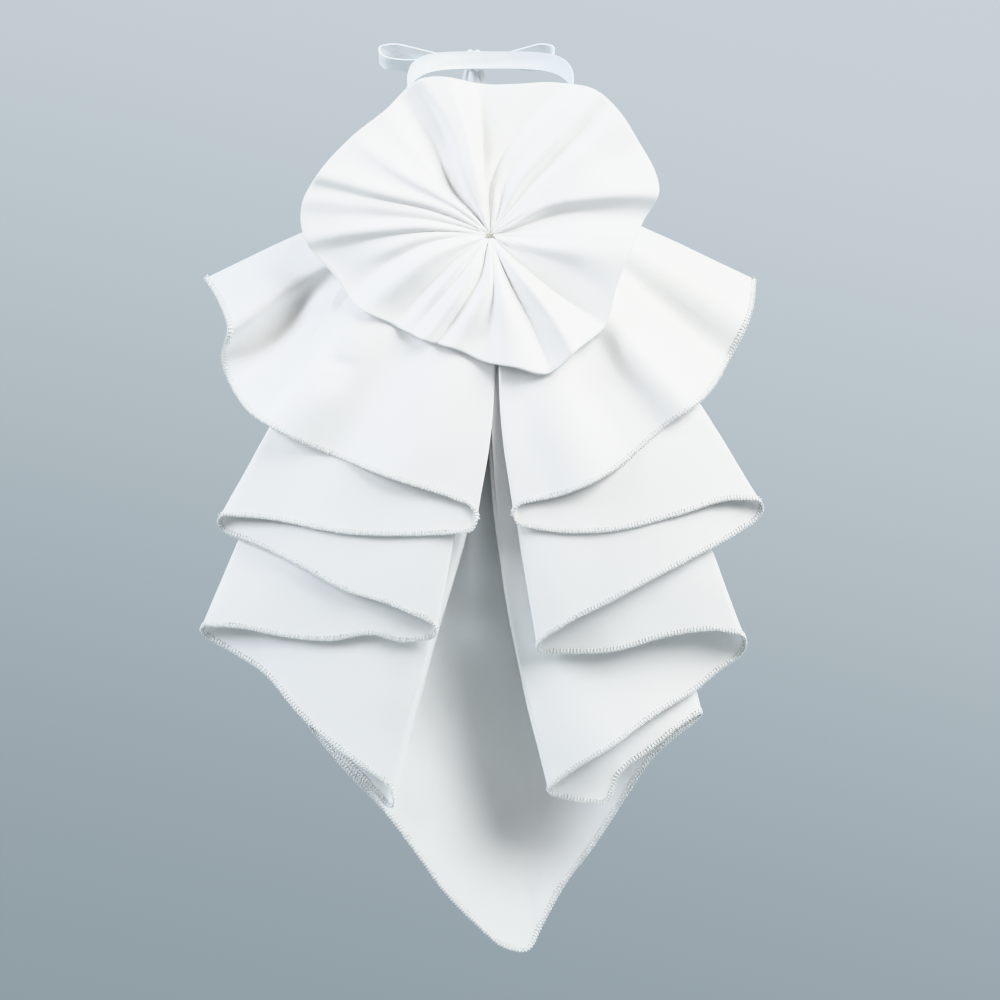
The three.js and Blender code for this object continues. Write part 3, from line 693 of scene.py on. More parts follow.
def stitchTree():
    # geometry nodes that set a pair of thread loops, one on each face of the cloth, at every point of a mesh
    tree = bpy.data.node_groups.new("overlock_stitches", "GeometryNodeTree")
    face = tree.interface
    face.new_socket("Geometry", in_out="INPUT", socket_type="NodeSocketGeometry")
    for label in ("Stitch Pitch", "Stitch Width", "Stitch Height", "Thread Radius", "Unevenness"):
        face.new_socket(label, in_out="INPUT", socket_type="NodeSocketFloat")
    face.new_socket("Seed", in_out="INPUT", socket_type="NodeSocketInt")
    face.new_socket("Material", in_out="INPUT", socket_type="NodeSocketMaterial")
    face.new_socket("Geometry", in_out="OUTPUT", socket_type="NodeSocketGeometry")
    given = addNode(tree, "NodeGroupInput").outputs

    def number(operation, a, b):
        return addNode(tree, "ShaderNodeMath", {"operation": operation}, {0: a, 1: b}).outputs[0]

    def corner(x, y, z):
        return addNode(tree, "ShaderNodeCombineXYZ", None, {"X": x, "Y": y, "Z": z}).outputs[0]

    def loop(side):
        # a thread loop from the needle line out round the edge and back, on one face of the cloth
        height = number("MULTIPLY", given["Stitch Height"], float(side))
        inner = number("MULTIPLY", given["Stitch Width"], overlock["needle"])
        half = number("MULTIPLY", given["Stitch Pitch"], overlock["half"])
        start = corner(number("MULTIPLY", half, -1.0), inner, height)
        middle = corner(number("MULTIPLY", half, overlock["slant"] * side),
                        number("MULTIPLY", given["Stitch Width"], overlock["turn"]),
                        number("MULTIPLY", height, overlock["edgeHeight"]))
        end = corner(half, inner, height)
        curve = addNode(tree, "GeometryNodeCurveQuadraticBezier", None, {
            "Resolution": 6, "Start": start, "Middle": middle, "End": end}).outputs[0]
        profile = addNode(tree, "GeometryNodeCurvePrimitiveCircle", None, {
            "Resolution": 4, "Radius": given["Thread Radius"]}).outputs["Curve"]
        return addNode(tree, "GeometryNodeCurveToMesh", None, {
            "Curve": curve, "Profile Curve": profile, "Fill Caps": True}).outputs[0]

    motif = addNode(tree, "GeometryNodeJoinGeometry")
    tree.links.new(loop(1), motif.inputs[0])
    tree.links.new(loop(-1), motif.inputs[0])
    along, outward = (
        addNode(tree, "GeometryNodeInputNamedAttribute", {"data_type": "FLOAT_VECTOR"}, {"Name": label})
        for label in ("along", "outward"))
    turned = addNode(tree, "FunctionNodeAxesToRotation", {"primary_axis": "X", "secondary_axis": "Y"}, {
        "Primary Axis": along.outputs["Attribute"],
        "Secondary Axis": outward.outputs["Attribute"]}).outputs[0]
    smallest = number("SUBTRACT", 1.0, given["Unevenness"])
    largest = number("ADD", 1.0, given["Unevenness"])
    size = addNode(tree, "FunctionNodeRandomValue", {"data_type": "FLOAT"}, {
        2: smallest, 3: largest, "Seed": given["Seed"]})
    points = addNode(tree, "GeometryNodeMeshToPoints", None, {"Mesh": given["Geometry"]}).outputs[0]
    placed = addNode(tree, "GeometryNodeInstanceOnPoints", None, {
        "Points": points, "Instance": motif.outputs[0],
        "Rotation": turned, "Scale": size.outputs[1]}).outputs[0]
    smooth = addNode(tree, "GeometryNodeSetShadeSmooth", None, {"Geometry": placed}).outputs[0]
    real = addNode(tree, "GeometryNodeRealizeInstances", None, {"Geometry": smooth}).outputs[0]
    coloured = addNode(tree, "GeometryNodeSetMaterial", None, {
        "Geometry": real, "Material": given["Material"]}).outputs[0]
    addNode(tree, "NodeGroupOutput", None, {"Geometry": coloured})
    return tree


def bakedNodes(piece, tree, values):
    # runs a piece through geometry nodes, inputs set by identifier, and keeps the result as a plain mesh
    modifier = piece.modifiers.new(tree.name, "NODES")
    modifier.node_group = tree
    for item in tree.interface.items_tree:
        if item.item_type == "SOCKET" and item.in_out == "INPUT" and item.name in values:
            modifier[item.identifier] = values[item.name]
    piece.update_tag()
    evaluated = piece.evaluated_get(bpy.context.evaluated_depsgraph_get())
    mesh = bpy.data.meshes.new_from_object(evaluated)
    piece.modifiers.remove(modifier)
    old, piece.data = piece.data, mesh
    bpy.data.meshes.remove(old)


def hemStitches():
    # a mesh of bare points along the hem that the geometry nodes turn into stitches
    place, along, outward, _ = hemFrames(overlock["pitch"])
    mesh = bpy.data.meshes.new("hem_places")
    mesh.from_pydata((place * mm).tolist(), [], [])
    for label, vectors in (("along", along), ("outward", outward)):
        mesh.attributes.new(label, "FLOAT_VECTOR", "POINT").data.foreach_set("vector", vectors.ravel())
    piece = bpy.data.objects.new("hem_stitches", mesh)
    scene.collection.objects.link(piece)
    bakedNodes(piece, stitchTree(), {
        "Stitch Pitch": overlock["pitch"] * mm, "Stitch Width": overlock["width"] * mm,
        "Stitch Height": overlock["height"] * mm, "Thread Radius": overlock["thread"] * mm,
        "Unevenness": overlock["unevenness"], "Seed": overlock["seed"], "Material": overlockThread})
    return piece


overlockBand = outwards(addMesh("hem_band", *hemBand(), polyesterSatin))
overlockStitches = hemStitches()
print("hem made:", len(overlockBand.data.polygons), "band faces,",
      len(overlockStitches.data.polygons), "stitch faces")


# Rosette: one cloth folded over at the rim, front and back gathered on the hub

rosette = {
    "centre": [0, -96], "lean": 0.36, "dish": 7, "wall": 0.35,  # hub's place, slope back, hollow, and cloth
    "hub": 1.5, "stitchGap": 0.3, "hubCloth": 1.2, "hubStrands": 0.7,  # radius, and depths behind the stitch
    "spokes": 460, "frontRows": 56, "backRows": 24, "turnRows": 5, "rowCurve": 1.15,  # points of the mesh
    "puff": [0.8, 1.7, 1.0],  # half the doubled cloth's thickness at the hub, half way out and at the rim
    "crisp": 2.2, "inOrder": 0.05, "leastSpan": 0.2,  # steepness of a crease, and how near two lines may come
    "soften": 3, "swell": 0.45, "swellSize": 34, "swellSeed": 21,  # smoothing rounds, and unevenness
    "restFrom": 0.25,  # how far out the rim starts to lean back
    "gatherFrom": 0.04,  # how far out the fine gathers are at their full depth
}

# the rim's radius at each angle, in degrees from +X
rim = {
    "angle": [5, 15, 33, 53, 66, 80, 94, 114, 130, 145, 159, 171,
              182, 194, 208, 222, 238, 254, 268, 281, 293, 308, 322, 337, 352],
    "radius": [100, 114, 115, 118, 110, 101, 100, 112, 107, 111, 118, 124,
               120, 105, 98, 86, 80, 77, 82, 87, 97, 93, 95, 89, 91],
}

# how far the rim leans back to the ruffles at each angle
rimRest = {
    "angle": [0, 160, 180, 204, 228, 240, 264, 288, 300, 324, 345, 360],
    "back": [0, 0, 9, 12, 12.5, 9.5, 9, 5.5, 7, 7.5, 2, 0],
}

# fold lines from the hub to the rim: the angle and the rise at these shares of the way out, and how crisp
# the line is, from 0 for a soft swell to 1 for a sharp crease
pleatStations = [0.1, 0.3, 0.6, 1]
pleats = table(
    ("angle", "rise", "crisp"),
    ([9, 16, 11, 6], [-0.9, -1.2, -0.8, -3], 0),  # under the right ridge
    ([24, 27.6, 20, 13.2], [2, 5.5, 8, 6.5], 0.8),  # right ridge
    ([38, 38, 33, 25], [1.5, 4.8, 6.5, -1], 0),  # right rim dip
    ([46, 45, 41, 42], [1, 3.6, 6.5, 5.2], 0.2),  # upper right streak
    ([52, 53, 50, 47.5], [0, 0, 0.7, 2], 0),  # tan dip
    ([58.4, 61, 55.4, 51.7], [2, 6, 7.8, 5.9], 0.7),  # upper right ridge
    ([66, 74, 63.5, 54.5], [-1.4, -1.8, 1.3, 3.9], 0.4),  # short crease
    ([80, 83, 70.5, 57], [1.5, 1.8, 0.7, 1.3], 0.7),  # thin ridge
    ([88, 89.4, 77, 61], [-1.8, -4.8, -5.1, -3], 0.5),  # top crease
    ([93, 92.5, 88, 80], [-0.7, -1.8, 0, 0], 0),  # top swell
    ([97, 97, 95, 93], [-0.5, -1.2, -2.5, -3], 0),  # top dip
    ([106, 104, 102.5, 105], [3, 8.4, 10.4, 7.8], 0.3),  # top ridge
    ([114, 115.5, 110.5, 114.5], [2.5, 7.2, 9.1, 8.5], 0.9),  # top ridge edge
    ([118, 120, 114, 118], [0, -1.2, 0, 2.6], 0.2),  # left of the edge
    ([123, 131, 123, 122], [-1.4, -6, -5.1, -1], 0.2),  # upper left valley
    ([128, 135, 134, 133], [-0.5, -1.2, 2, 2], 0),  # upper left swell
    ([134, 139.2, 145, 144.4], [2, 7.2, 7.8, 4.5], 0.8),  # bright ridge
    ([141, 146.4, 151, 150.5], [1, 4.8, 4.5, 2.6], 0.1),  # double line
    ([149, 152, 158.6, 161], [2, 6, 7.8, 6.5], 0.8),  # left ridge a
    ([155, 157, 162, 164.8], [0, 1.8, 2.6, 1.3], 0.3),  # under ridge a
    ([159, 161, 165.5, 169.5], [1, 3.6, 4.5, 3.9], 0.1),  # left swell
    ([165, 167, 171, 174], [0, 1.8, 2.6, 2.6], 0),  # left dip
    ([170, 172.5, 177.5, 182], [1.5, 5.4, 7.2, 2.6], 0.8),  # left ridge b
    ([174, 177, 182, 187.5], [0, 1.2, 1.3, -3], 0),  # under ridge b
    ([178, 181, 188.5, 195], [1, 3, 2.6, -4], 0.4),  # arc ridge
    ([184, 187, 194.5, 203], [-0.2, 0, -0.8, -5], 0),  # arc dip
    ([196, 198, 205, 212], [1.5, 4.8, 6.5, 2.6], 0.1),  # lower left lobe
    ([210, 214.7, 220, 224], [-0.7, -1.8, -1.7, -2.5], 0.2),  # lower left valley
    ([222, 225, 227.3, 229], [1.5, 3, 3.9, 0.7], 0.6),  # lower ridge 1
    ([230, 233.5, 232.8, 232.5], [0, -0.3, 0.7, -0.5], 0),  # lower dip 1
    ([240, 243, 242, 238], [1, 3.6, 5.2, 3.9], 0.3),  # lower ridge 2
    ([257, 258, 249.4, 243], [-1.8, -3.6, -1.7, -2.5], 0.5),  # lower crease
    ([271, 270, 260.5, 250.5], [2, 4.2, 5.2, 2.6], 0.3),  # lower ridge 3
    ([275, 275, 271, 265], [1, 1.2, 0, -2], 0),  # bottom dip
    ([281, 280.5, 280, 280], [1.5, 3.6, 4.5, 2.6], 0),  # bottom lobe
    ([291, 292.6, 294.5, 294], [-1.8, -3, -4.2, -4], 0.6),  # tip crease
    ([301.7, 305.6, 307.9, 305.5], [2.5, 6, 7.8, 5.9], 0.6),  # tip ridge
    ([311, 314.5, 317.4, 321.5], [-1.8, -6, -7.6, -5], 0.6),  # deep crease
    ([330, 335, 336.5, 328.5], [-0.9, -1.2, -1.7, -3], 0.2),  # facet edge
    ([341, 345, 350, 352], [1, 2.4, 3.9, 1.3], 0),  # right lobe
    ([350, 353, 357, 358], [-1.4, 0, 2.6, 0], 0.2),  # short right crease
)


# fine gathers round the hub: how many, where they start, how far out they reach, and how deep they are
hubGathers = table(
    ("count", "phase", "reach", "depth"),
    (29, 0.4, 0.26, 0.55),
    (41, 2.1, 0.17, 0.5),
    (58, 4.0, 0.1, 0.35),
)


def ringRise(out, angles):
    # how far the cloth stands forward round one ring
    turns = np.array([through(pleatStations, row["angle"], out) for row in pleats])
    rises = np.array([through([0, *pleatStations], [0, *row["rise"]], out) for row in pleats])
    crisp = np.array([row["crisp"] for row in pleats])
    turns = np.maximum.accumulate(turns + rosette["inOrder"] * np.arange(len(turns)) / len(turns))
    turns = np.concatenate([turns[-2:] - 360, turns, turns[:2] + 360])
    rises = np.concatenate([rises[-2:], rises, rises[:2]])
    crisp = np.concatenate([crisp[-2:], crisp, crisp[:2]])
    i = np.clip(np.searchsorted(turns, angles) - 1, 0, len(turns) - 2)
    span = np.maximum(turns[i + 1] - turns[i], rosette["leastSpan"])
    t = np.clip((angles - turns[i]) / span, 0, 1)
    step = rises[i + 1] - rises[i]
    leave, arrive = rosette["crisp"] * crisp[i] * step, rosette["crisp"] * crisp[i + 1] * step
    blend = t * t * (3 - 2 * t)
    return rises[i] + step * blend + t * (1 - t) ** 2 * leave + t * t * (t - 1) * arrive


def hubPleats(out, angles):
    # fine gathers, deepest close to the hub and gone a third of the way out
    turn = np.radians(angles)
    total = 0
    for row in hubGathers:
        phase = row["phase"]
        wander = 0.9 * np.sin(3 * turn + phase) + 0.6 * np.sin(5 * turn - 2 * phase)  # uneven spacing
        fade = math.exp(-(out / row["reach"]) ** 2)
        total = total + row["depth"] * np.cos(row["count"] * turn + phase + wander) * fade
    return total * min(out / rosette["gatherFrom"], 1)


def rosetteGrid():
    # the doubled cloth round the hub: columns from the hub over the front, round the rim and back behind
    angles = np.arange(rosette["spokes"]) * 360 / rosette["spokes"]
    rimAngles, rimRadii = np.array(rim["angle"]), rim["radius"]
    knots = np.concatenate([rimAngles[-3:] - 360, rimAngles, rimAngles[:3] + 360])
    radius = through(knots, rimRadii[-3:] + rimRadii + rimRadii[:3], angles)
    turn = np.radians(angles)
    radial = np.stack([np.cos(turn), 0 * turn, np.sin(turn)], 1)
    outs = np.linspace(0, 1, rosette["frontRows"]) ** rosette["rowCurve"]
    rises = np.array([ringRise(out, angles) + hubPleats(out, angles) for out in outs]).T
    for _ in range(rosette["soften"]):
        rises = (np.roll(rises, 1, axis=0) + 2 * rises + np.roll(rises, -1, axis=0)) / 4
    rimPuff = rosette["puff"][2]
    edge = radius - rimPuff
    reach = lerp(rosette["hub"], edge[:, None], outs[None])
    x, z = reach * radial[:, :1], reach * radial[:, 2:]
    uneven = softNoise(x, z, rosette["swellSize"], rosette["swellSeed"])
    rises = rises + rosette["swell"] * uneven * smoothstep(0.1, 0.5, outs)[None]
    y = -(rises + rosette["dish"] * np.sqrt(outs)[None]) + z * rosette["lean"]
    rest = through(rimRest["angle"], rimRest["back"], angles)
    y = y + rest[:, None] * smoothstep(rosette["restFrom"], 1, outs)[None]
    middle = np.stack([x, y, z], -1)
    along = np.roll(middle, -1, axis=0) - np.roll(middle, 1, axis=0)
    normal = unit(np.cross(np.gradient(middle, axis=1), along))
    normal = np.where(normal[..., 1:2] > 0, -normal, normal)
    puff = through([0, 0.5, 1], rosette["puff"], outs)[None, :, None]
    front, back = middle + normal * puff, middle - normal * puff
    rimOut = unit(middle[:, -1] - middle[:, -2])
    turns = [math.pi * (k + 1) / (rosette["turnRows"] + 1) for k in range(rosette["turnRows"])]
    roll = [middle[:, -1] + rimPuff * (normal[:, -1] * math.cos(a) + rimOut * math.sin(a)) for a in turns]
    keep = np.linspace(len(outs) - 1, 0, rosette["backRows"]).round().astype(int)
    return np.concatenate([front, np.stack(roll, 1), back[:, keep]], axis=1)


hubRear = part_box("rosette_stitch")[1].y / mm + rosette["stitchGap"]
hubDepth = hubRear + rosette["hubCloth"] + rosette["hubStrands"]
rosettePlace = np.array([rosette["centre"][0], hubDepth, rosette["centre"][1]])
rosettePoints = rosetteGrid() + rosettePlace
rosetteCloth = wallMesh("rosette_cloth", rosettePoints, rosette["wall"], polyesterSatin, ring=True)
print("rosette made:", len(rosetteCloth.data.polygons), "faces, hub at", round(hubDepth, 1), "mm")


# Hand stitch that holds the rosette's middle: strands of thread over the hub, with a knot at one end

handStitch = {
    "strand": 0.34, "length": 4.6, "strands": 5, "seed": 5,
    "apart": 0.42, "slant": 0.5, "sway": 0.15,  # the strands' spacing, and how much each lies askew
    "over": 0.7, "tuck": 0.9,  # how far they stand forward over the hub, and lie back at their ends
    "knot": 0.75, "knotTurns": 2, "knotAt": 0.36, "knotUp": 0.2, "knotDeep": 0.75, "knotPitch": 0.25,
}


def handStitchParts():
    low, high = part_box("rosette_stitch")
    middle = np.array([(low[k] + high[k]) / 2 for k in range(3)]) / mm
    parts = []
    random = np.random.default_rng(handStitch["seed"])
    for k in range(handStitch["strands"]):
        t = np.linspace(-1, 1, 15)
        lean = random.uniform(-handStitch["slant"], handStitch["slant"])
        x = t * handStitch["length"] / 2
        z = (k - 2) * handStitch["apart"] + lean * t + handStitch["sway"] * np.sin(3 * t)
        y = -handStitch["over"] * (1 - t ** 4) + handStitch["tuck"] * t ** 4
        parts.append(tubeAlong(middle + np.stack([x, y, z], 1), handStitch["strand"]))
    for k in range(handStitch["knotTurns"]):
        t = np.linspace(0, 2 * math.pi, 22)
        x = handStitch["length"] * handStitch["knotAt"] + handStitch["knot"] * np.cos(t) * 0.7
        z = handStitch["knotUp"] + handStitch["knot"] * np.sin(t)
        y = -handStitch["knotDeep"] - handStitch["knotPitch"] * k + 0.3 * np.sin(t + k * 1.6)
        parts.append(tubeAlong(middle + np.stack([x, y, z], 1), handStitch["strand"]))
    return parts


stitchPiece = joinParts("rosette_hand_stitch", handStitchParts(), sewingThread)
print("hand stitch made")


# Ribbon, knot, loops and tails of the bow

ribbon = {
    "width": 12, "wall": 0.5, "selvedge": 0.8, "selvedgeFrom": 0.75, "steps": 190, "across": 9,
    "side": 55, "flare": 6, "front": 60.4, "nape": 57,  # half width, spread in front, and depths
    "frontLevel": -44, "sideLevel": 9, "napeLevel": 30,
    "crumple": 0.7, "crumpleSize": 24, "crumpleSeed": 31, "cup": 0.5,
}
knot = {"aside": -12, "width": 14, "depth": 12, "height": 15, "wall": 0.5, "around": 72, "across": 23,
        "square": 0.8, "waist": 0.28, "crease": 0.45, "fineCrease": 0.25}
bowLoop = {"leftReach": 60, "rightReach": 50, "opening": 16, "root": 1.6, "tuckedIn": 1.5, "roll": 40,
           "rise": 4, "swing": 5, "steps": 96, "pinch": 0.55, "pinchTo": 0.3, "pleat": 0.9, "ripple": 0.5,
           "cup": 0.4}
bowTail = {"length": 96, "tuckedIn": 1.0, "root": 3.2, "apart": 0.3, "spread": 14, "swing": 8, "sway": 0.8,
           "steps": 60, "slant": 5, "pinch": 0.6, "pinchTo": 0.22, "pleat": 0.7, "ripple": 0.5, "cup": 0.4}


def ribbonLine(angle):
    # the neck loop's middle line at an angle from the front
    front = (1 + np.cos(angle)) / 2
    across = ribbon["side"] + ribbon["flare"] * front ** 2
    deep = lerp(ribbon["nape"], ribbon["front"], front)
    middle = (ribbon["frontLevel"] + ribbon["napeLevel"]) / 2
    tilt = (ribbon["frontLevel"] - ribbon["napeLevel"]) / 2 * np.cos(angle)
    bow = (middle - ribbon["sideLevel"]) / 2 * np.cos(2 * angle)
    z = (middle + ribbon["sideLevel"]) / 2 + tilt + bow
    return np.stack([across * np.sin(angle), -deep * np.cos(angle), z], 1)


def stripGrid(middle, widthways, width):
    # points across a ribbon at each place of its middle line
    across = np.linspace(-0.5, 0.5, ribbon["across"])
    width = np.broadcast_to(width, len(middle))
    return middle[:, None] + unit(widthways)[:, None] * across[None, :, None] * width[:, None, None], across


def selvedgeWall(shape):
    # a ribbon's wall, a little thicker along its two woven edges
    across = np.abs(np.linspace(-1, 1, shape[1]))
    extra = ribbon["selvedge"] - ribbon["wall"]
    return np.broadcast_to(ribbon["wall"] + extra * smoothstep(ribbon["selvedgeFrom"], 1, across), shape)


def neckRibbonGrid():
    # the ribbon of the neck loop, a little crumpled and cupped
    angle = np.arange(ribbon["steps"]) * 2 * math.pi / ribbon["steps"]
    middle = ribbonLine(angle)
    along = ribbonLine(angle + 0.01) - ribbonLine(angle - 0.01)
    outward = unit(middle * [1, 1, 0])
    grid, across = stripGrid(middle, np.cross(outward, along), ribbon["width"])
    run = angle[:, None] * ribbon["nape"]
    crumple = softNoise(run, across[None] * 30, ribbon["crumpleSize"], ribbon["crumpleSeed"]) * 0.6
    crumple = crumple + 0.4 * np.sin(across[None] * 9 + angle[:, None] * 3)
    cupped = ribbon["cup"] * (1 - 4 * across[None] ** 2)
    return grid + outward[:, None] * (ribbon["crumple"] * crumple * 0.5 + cupped)[..., None]


knotPlace = np.array([knot["aside"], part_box("bow_knot")[0].y / mm + knot["depth"] / 2, ribbon["napeLevel"]])


def squared(c):
    # a sine or cosine drawn out so that a circle turns into a rounded square
    return np.sign(c) * np.abs(c) ** knot["square"]


def knotGrid():
    # a band of ribbon wrapped once round the loops' roots, its ends tucked in at both sides
    turn = np.arange(knot["around"]) * 2 * math.pi / knot["around"]
    t = np.linspace(-1, 1, knot["across"])
    shrink = (1 - np.abs(t) ** 5) ** 0.5 * (1 - knot["waist"]) + knot["waist"]
    slant = 1.3 * np.sin(turn)[:, None] * 2
    creases = knot["crease"] * np.cos(3.3 * t[None] * 2 + slant) * (1 - t[None] ** 2)
    creases = creases + knot["fineCrease"] * np.cos(9 * t[None] + 2 * turn[:, None])
    deep = (knot["depth"] / 2 - knot["wall"]) * shrink[None] + creases * 0.8
    high = (knot["height"] / 2 - knot["wall"]) * shrink[None] + creases
    x = t[None] * (knot["width"] / 2 - 0.3) * np.ones((len(turn), 1))
    y = squared(np.cos(turn))[:, None] * deep
    z = squared(np.sin(turn))[:, None] * high
    return np.stack([x, y, z], -1) + knotPlace


def loopGrid(side, reach):
    # a loop of the bow: out from the knot and back, on the given side
    roll = math.radians(bowLoop["roll"])
    opening = np.array([0, math.sin(roll), math.cos(roll)])
    widthways = np.array([0, math.cos(roll), -math.sin(roll)])
    root = knot["width"] / 2 - bowLoop["tuckedIn"]
    t = np.linspace(0, 1, bowLoop["steps"])
    end = np.minimum(t, 1 - t)
    out = np.sin(math.pi * t)
    apart = bowLoop["root"] * np.cos(math.pi * t) + bowLoop["opening"] / 2 * np.sin(2 * math.pi * t) * out
    sideways = side * (root + (reach + bowLoop["tuckedIn"]) * out)
    tip = np.stack([sideways, bowLoop["swing"] * out, bowLoop["rise"] * out ** 2], 1)
    middle = tip + knotPlace + apart[:, None] * opening
    width = ribbon["width"] * lerp(bowLoop["pinch"], 1, smoothstep(0.02, bowLoop["pinchTo"], end))
    grid, across = stripGrid(middle, np.tile(widthways, (len(t), 1)), width)
    tuck = np.exp(-end / 0.1)[:, None]
    ripple = bowLoop["pleat"] * tuck * np.cos(across[None] * 14 + side)
    ripple = ripple + bowLoop["ripple"] * softNoise(t[:, None] * 120, across[None] * 26, 20, 41)
    cupped = bowLoop["cup"] * (1 - 4 * across[None] ** 2) * np.where(t < 0.5, 1, -1)[:, None] * (1 - tuck)
    return grid + opening * (ripple + cupped)[..., None]


def tailGrid(side):
    # a free end of the ribbon hanging from the knot, cut at a slant
    top = knotPlace[2] - knot["height"] / 2 + bowTail["tuckedIn"]
    t = np.linspace(0, 1, bowTail["steps"])
    away = lerp(bowTail["root"], ribbon["width"] / 2 + bowTail["apart"], smoothstep(0, 0.25, t))
    x = knotPlace[0] + side * (away + bowTail["spread"] * t ** 1.3)
    y = knotPlace[1] + bowTail["swing"] * np.sin(math.pi / 2 * t) + bowTail["sway"] * np.sin(t * 9 + side)
    z = top - (bowTail["length"] + bowTail["tuckedIn"]) * t
    width = ribbon["width"] * lerp(bowTail["pinch"], 1, smoothstep(0, bowTail["pinchTo"], t))
    widthways = np.stack([np.ones_like(t), 0.25 * np.sin(t * 5 + side), side * 0.15 * t], 1)
    grid, across = stripGrid(np.stack([x, y, z], 1), widthways, width)
    ripple = bowTail["pleat"] * np.exp(-t / 0.12)[:, None] * np.cos(across[None] * 13)
    ripple = ripple + bowTail["ripple"] * softNoise(t[:, None] * 96, across[None] * 20, 22, 51 + side)
    ripple = ripple + bowTail["cup"] * (1 - 4 * across[None] ** 2)
    grid = grid + np.array([0, 1, 0]) * ripple[..., None]
    grid[..., 2] += bowTail["slant"] * (0.5 - side * across[None]) * t[:, None] ** 3
    return grid


def ribbonPiece(name, grid, ring=False):
    return wallMesh(name, grid, selvedgeWall(grid.shape[:2]), satinRibbon, ring)


neckRibbon = ribbonPiece("neck_ribbon_band", neckRibbonGrid(), ring=True)
leftLoop = ribbonPiece("bow_left_loop", loopGrid(-1, bowLoop["leftReach"]))
rightLoop = ribbonPiece("bow_right_loop", loopGrid(1, bowLoop["rightReach"]))
leftTail = ribbonPiece("bow_left_tail", tailGrid(-1))
rightTail = ribbonPiece("bow_right_tail", tailGrid(1))
bowKnot = wallMesh("bow_knot_wrap", knotGrid(), knot["wall"], satinRibbon, ring=True)
print("ribbon and bow made")


# Studio: a round pale floor far below the hanging collar, pale air round it, soft lights and the camera

studio = {"floor": -1.0, "radius": 1.5, "segments": 96, "strength": 1.0,
          "low": "#98A5AD", "high": "#CDD6DC", "lowAt": -0.3, "highAt": 0.14, "sideways": 0.25,
          "front": "#8A8987", "behind": 0.15, "before": -0.35}
shot = {"target": (0.0066, -0.1, -0.26994), "distance": 2.0, "elevation": 4.0, "across": 0.66, "sensor": 36.0}
softboxes = [
    {"name": "key", "place": (2.21, -1.48, 2.07), "size": 2.6, "power": 158, "colour": "#FEFEFD"},
    {"name": "left", "place": (-2.51, -0.92, 1.14), "size": 1.4, "power": 80, "colour": "#F3F7FF"},
]


def floorMaterial():
    # matt painted floor, faintly uneven
    material, tree = newMaterial("matt_floor_paint")
    place = addNode(tree, "ShaderNodeTexCoord").outputs["Object"]
    cloud = addNode(tree, "ShaderNodeTexNoise", None, {
        "Vector": place, "Scale": 3.0, "Detail": 3.0}).outputs["Fac"]
    colour = addNode(tree, "ShaderNodeMix", {"data_type": "RGBA"}, {
        "Factor": cloud, "A": linear("#B9C3C8"), "B": linear("#C3CCD1")}).outputs[2]
    shader = addNode(tree, "ShaderNodeBsdfPrincipled", None, {"Base Color": colour, "Roughness": 0.9})
    finishMaterial(tree, shader)
    return material


def studioFloor():
    turn = np.arange(studio["segments"]) * 2 * math.pi / studio["segments"]
    level, radius = studio["floor"] / mm, studio["radius"] / mm
    points = np.stack([np.cos(turn) * radius, np.sin(turn) * radius, turn * 0 + level], 1)
    addMesh("studio_floor", points, [list(range(len(turn)))], floorMaterial(), smooth=False)


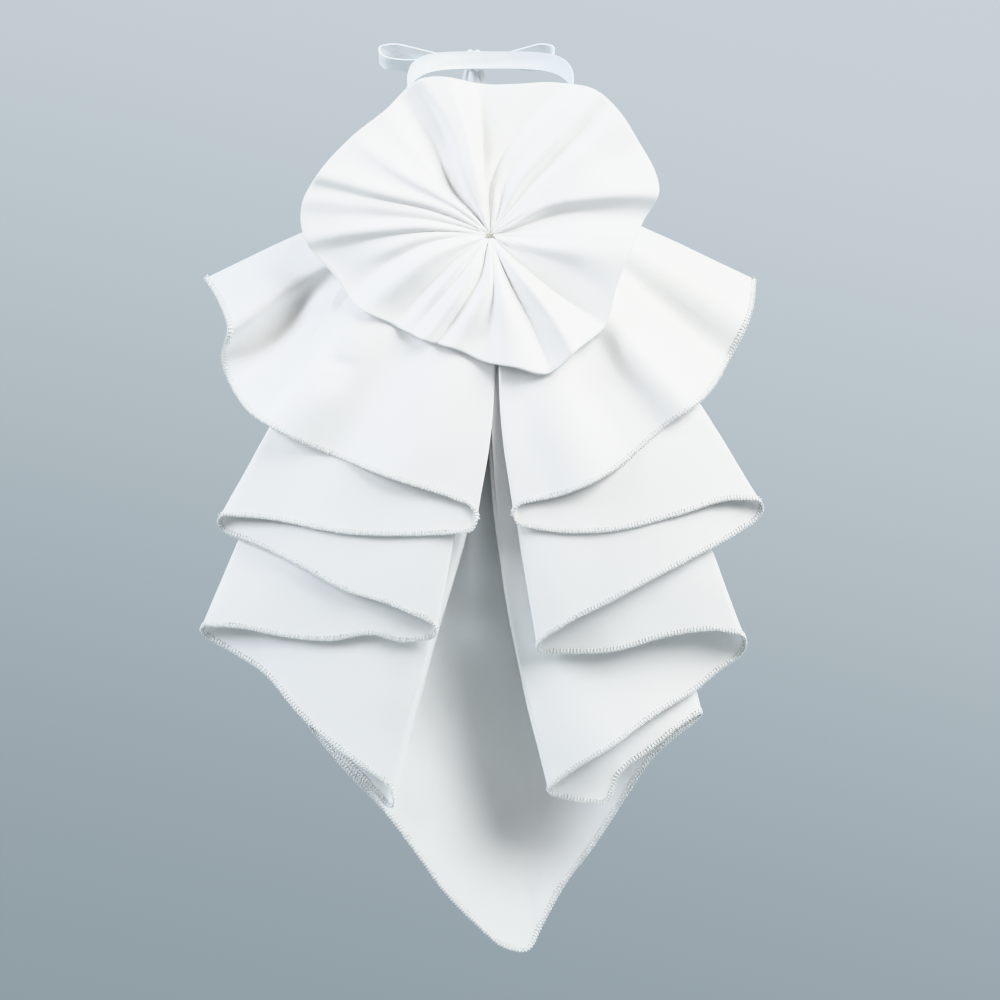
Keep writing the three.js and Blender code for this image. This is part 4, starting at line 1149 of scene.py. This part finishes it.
def studioAir():
    # a cool backdrop behind the collar, paler towards the top and the right, and a neutral dim room before it
    world = bpy.data.worlds.new("studio_air")
    world.use_nodes = True
    tree = world.node_tree
    tree.nodes.clear()
    way = addNode(tree, "ShaderNodeTexCoord").outputs["Generated"]
    height = addNode(tree, "ShaderNodeVectorMath", {"operation": "DOT_PRODUCT"}, {
        0: way, 1: (studio["sideways"], 0.0, 1.0)}).outputs["Value"]
    factor = addNode(tree, "ShaderNodeMapRange", {"interpolation_type": "SMOOTHSTEP"}, {
        "Value": height, "From Min": studio["lowAt"], "From Max": studio["highAt"]}).outputs[0]
    backdrop = addNode(tree, "ShaderNodeMix", {"data_type": "RGBA"}, {
        "Factor": factor, "A": linear(studio["low"]), "B": linear(studio["high"])}).outputs[2]
    depth = addNode(tree, "ShaderNodeSeparateXYZ", None, {"Vector": way}).outputs["Y"]
    room = addNode(tree, "ShaderNodeMapRange", {"interpolation_type": "SMOOTHSTEP"}, {
        "Value": depth, "From Min": studio["before"], "From Max": studio["behind"]}).outputs[0]
    colour = addNode(tree, "ShaderNodeMix", {"data_type": "RGBA"}, {
        "Factor": room, "A": linear(studio["front"]), "B": backdrop}).outputs[2]
    air = addNode(tree, "ShaderNodeBackground", None, {"Color": colour, "Strength": studio["strength"]})
    addNode(tree, "ShaderNodeOutputWorld", None, {"Surface": air.outputs[0]})
    scene.world = world


def addSoftbox(box, aim):
    light = bpy.data.lights.new(box["name"], "AREA")
    light.shape = "DISK"
    light.size = box["size"]
    light.energy = box["power"]
    light.color = linear(box["colour"])[:3]
    lamp = bpy.data.objects.new(box["name"], light)
    lamp.location = box["place"]
    lamp.rotation_euler = (Vector(aim) - Vector(box["place"])).to_track_quat("-Z", "Y").to_euler()
    lamp.visible_camera = False
    scene.collection.objects.link(lamp)


def addCamera():
    data = bpy.data.cameras.new("camera")
    data.sensor_width = shot["sensor"]
    data.lens = shot["sensor"] * shot["distance"] / shot["across"]
    data.clip_end = 50
    camera = bpy.data.objects.new("camera", data)
    up = math.radians(shot["elevation"])
    back = Vector((0, -math.cos(up), math.sin(up)))
    camera.location = Vector(shot["target"]) + back * shot["distance"]
    camera.rotation_euler = (-back).to_track_quat("-Z", "Y").to_euler()
    scene.collection.objects.link(camera)
    scene.camera = camera


studioFloor()
studioAir()
for box in softboxes:
    addSoftbox(box, shot["target"])
addCamera()
scene.view_settings.view_transform = "Khronos PBR Neutral"
print("studio made")


# Each piece rides on the collar's one body, and stands for a solid where there is one

clothPieces = [
    (ruffleCloth, "satin", ["ruffle_cascade"]),
    (overlockBand, "thread", []),
    (overlockStitches, "thread", []),
    (rosetteCloth, "satin", ["rosette"]),
    (stitchPiece, "thread", ["rosette_stitch"]),
    (neckRibbon, "ribbon", ["neck_ribbon"]),
    (bowKnot, "ribbon", ["bow_knot"]),
    (leftLoop, "ribbon", ["bow_loop_left"]),
    (rightLoop, "ribbon", ["bow_loop_right"]),
    (leftTail, "ribbon", ["bow_tail_left"]),
    (rightTail, "ribbon", ["bow_tail_right"]),
]
for piece, slot, nodes in clothPieces:
    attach(piece, "root")
    if nodes:
        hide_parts(*nodes)
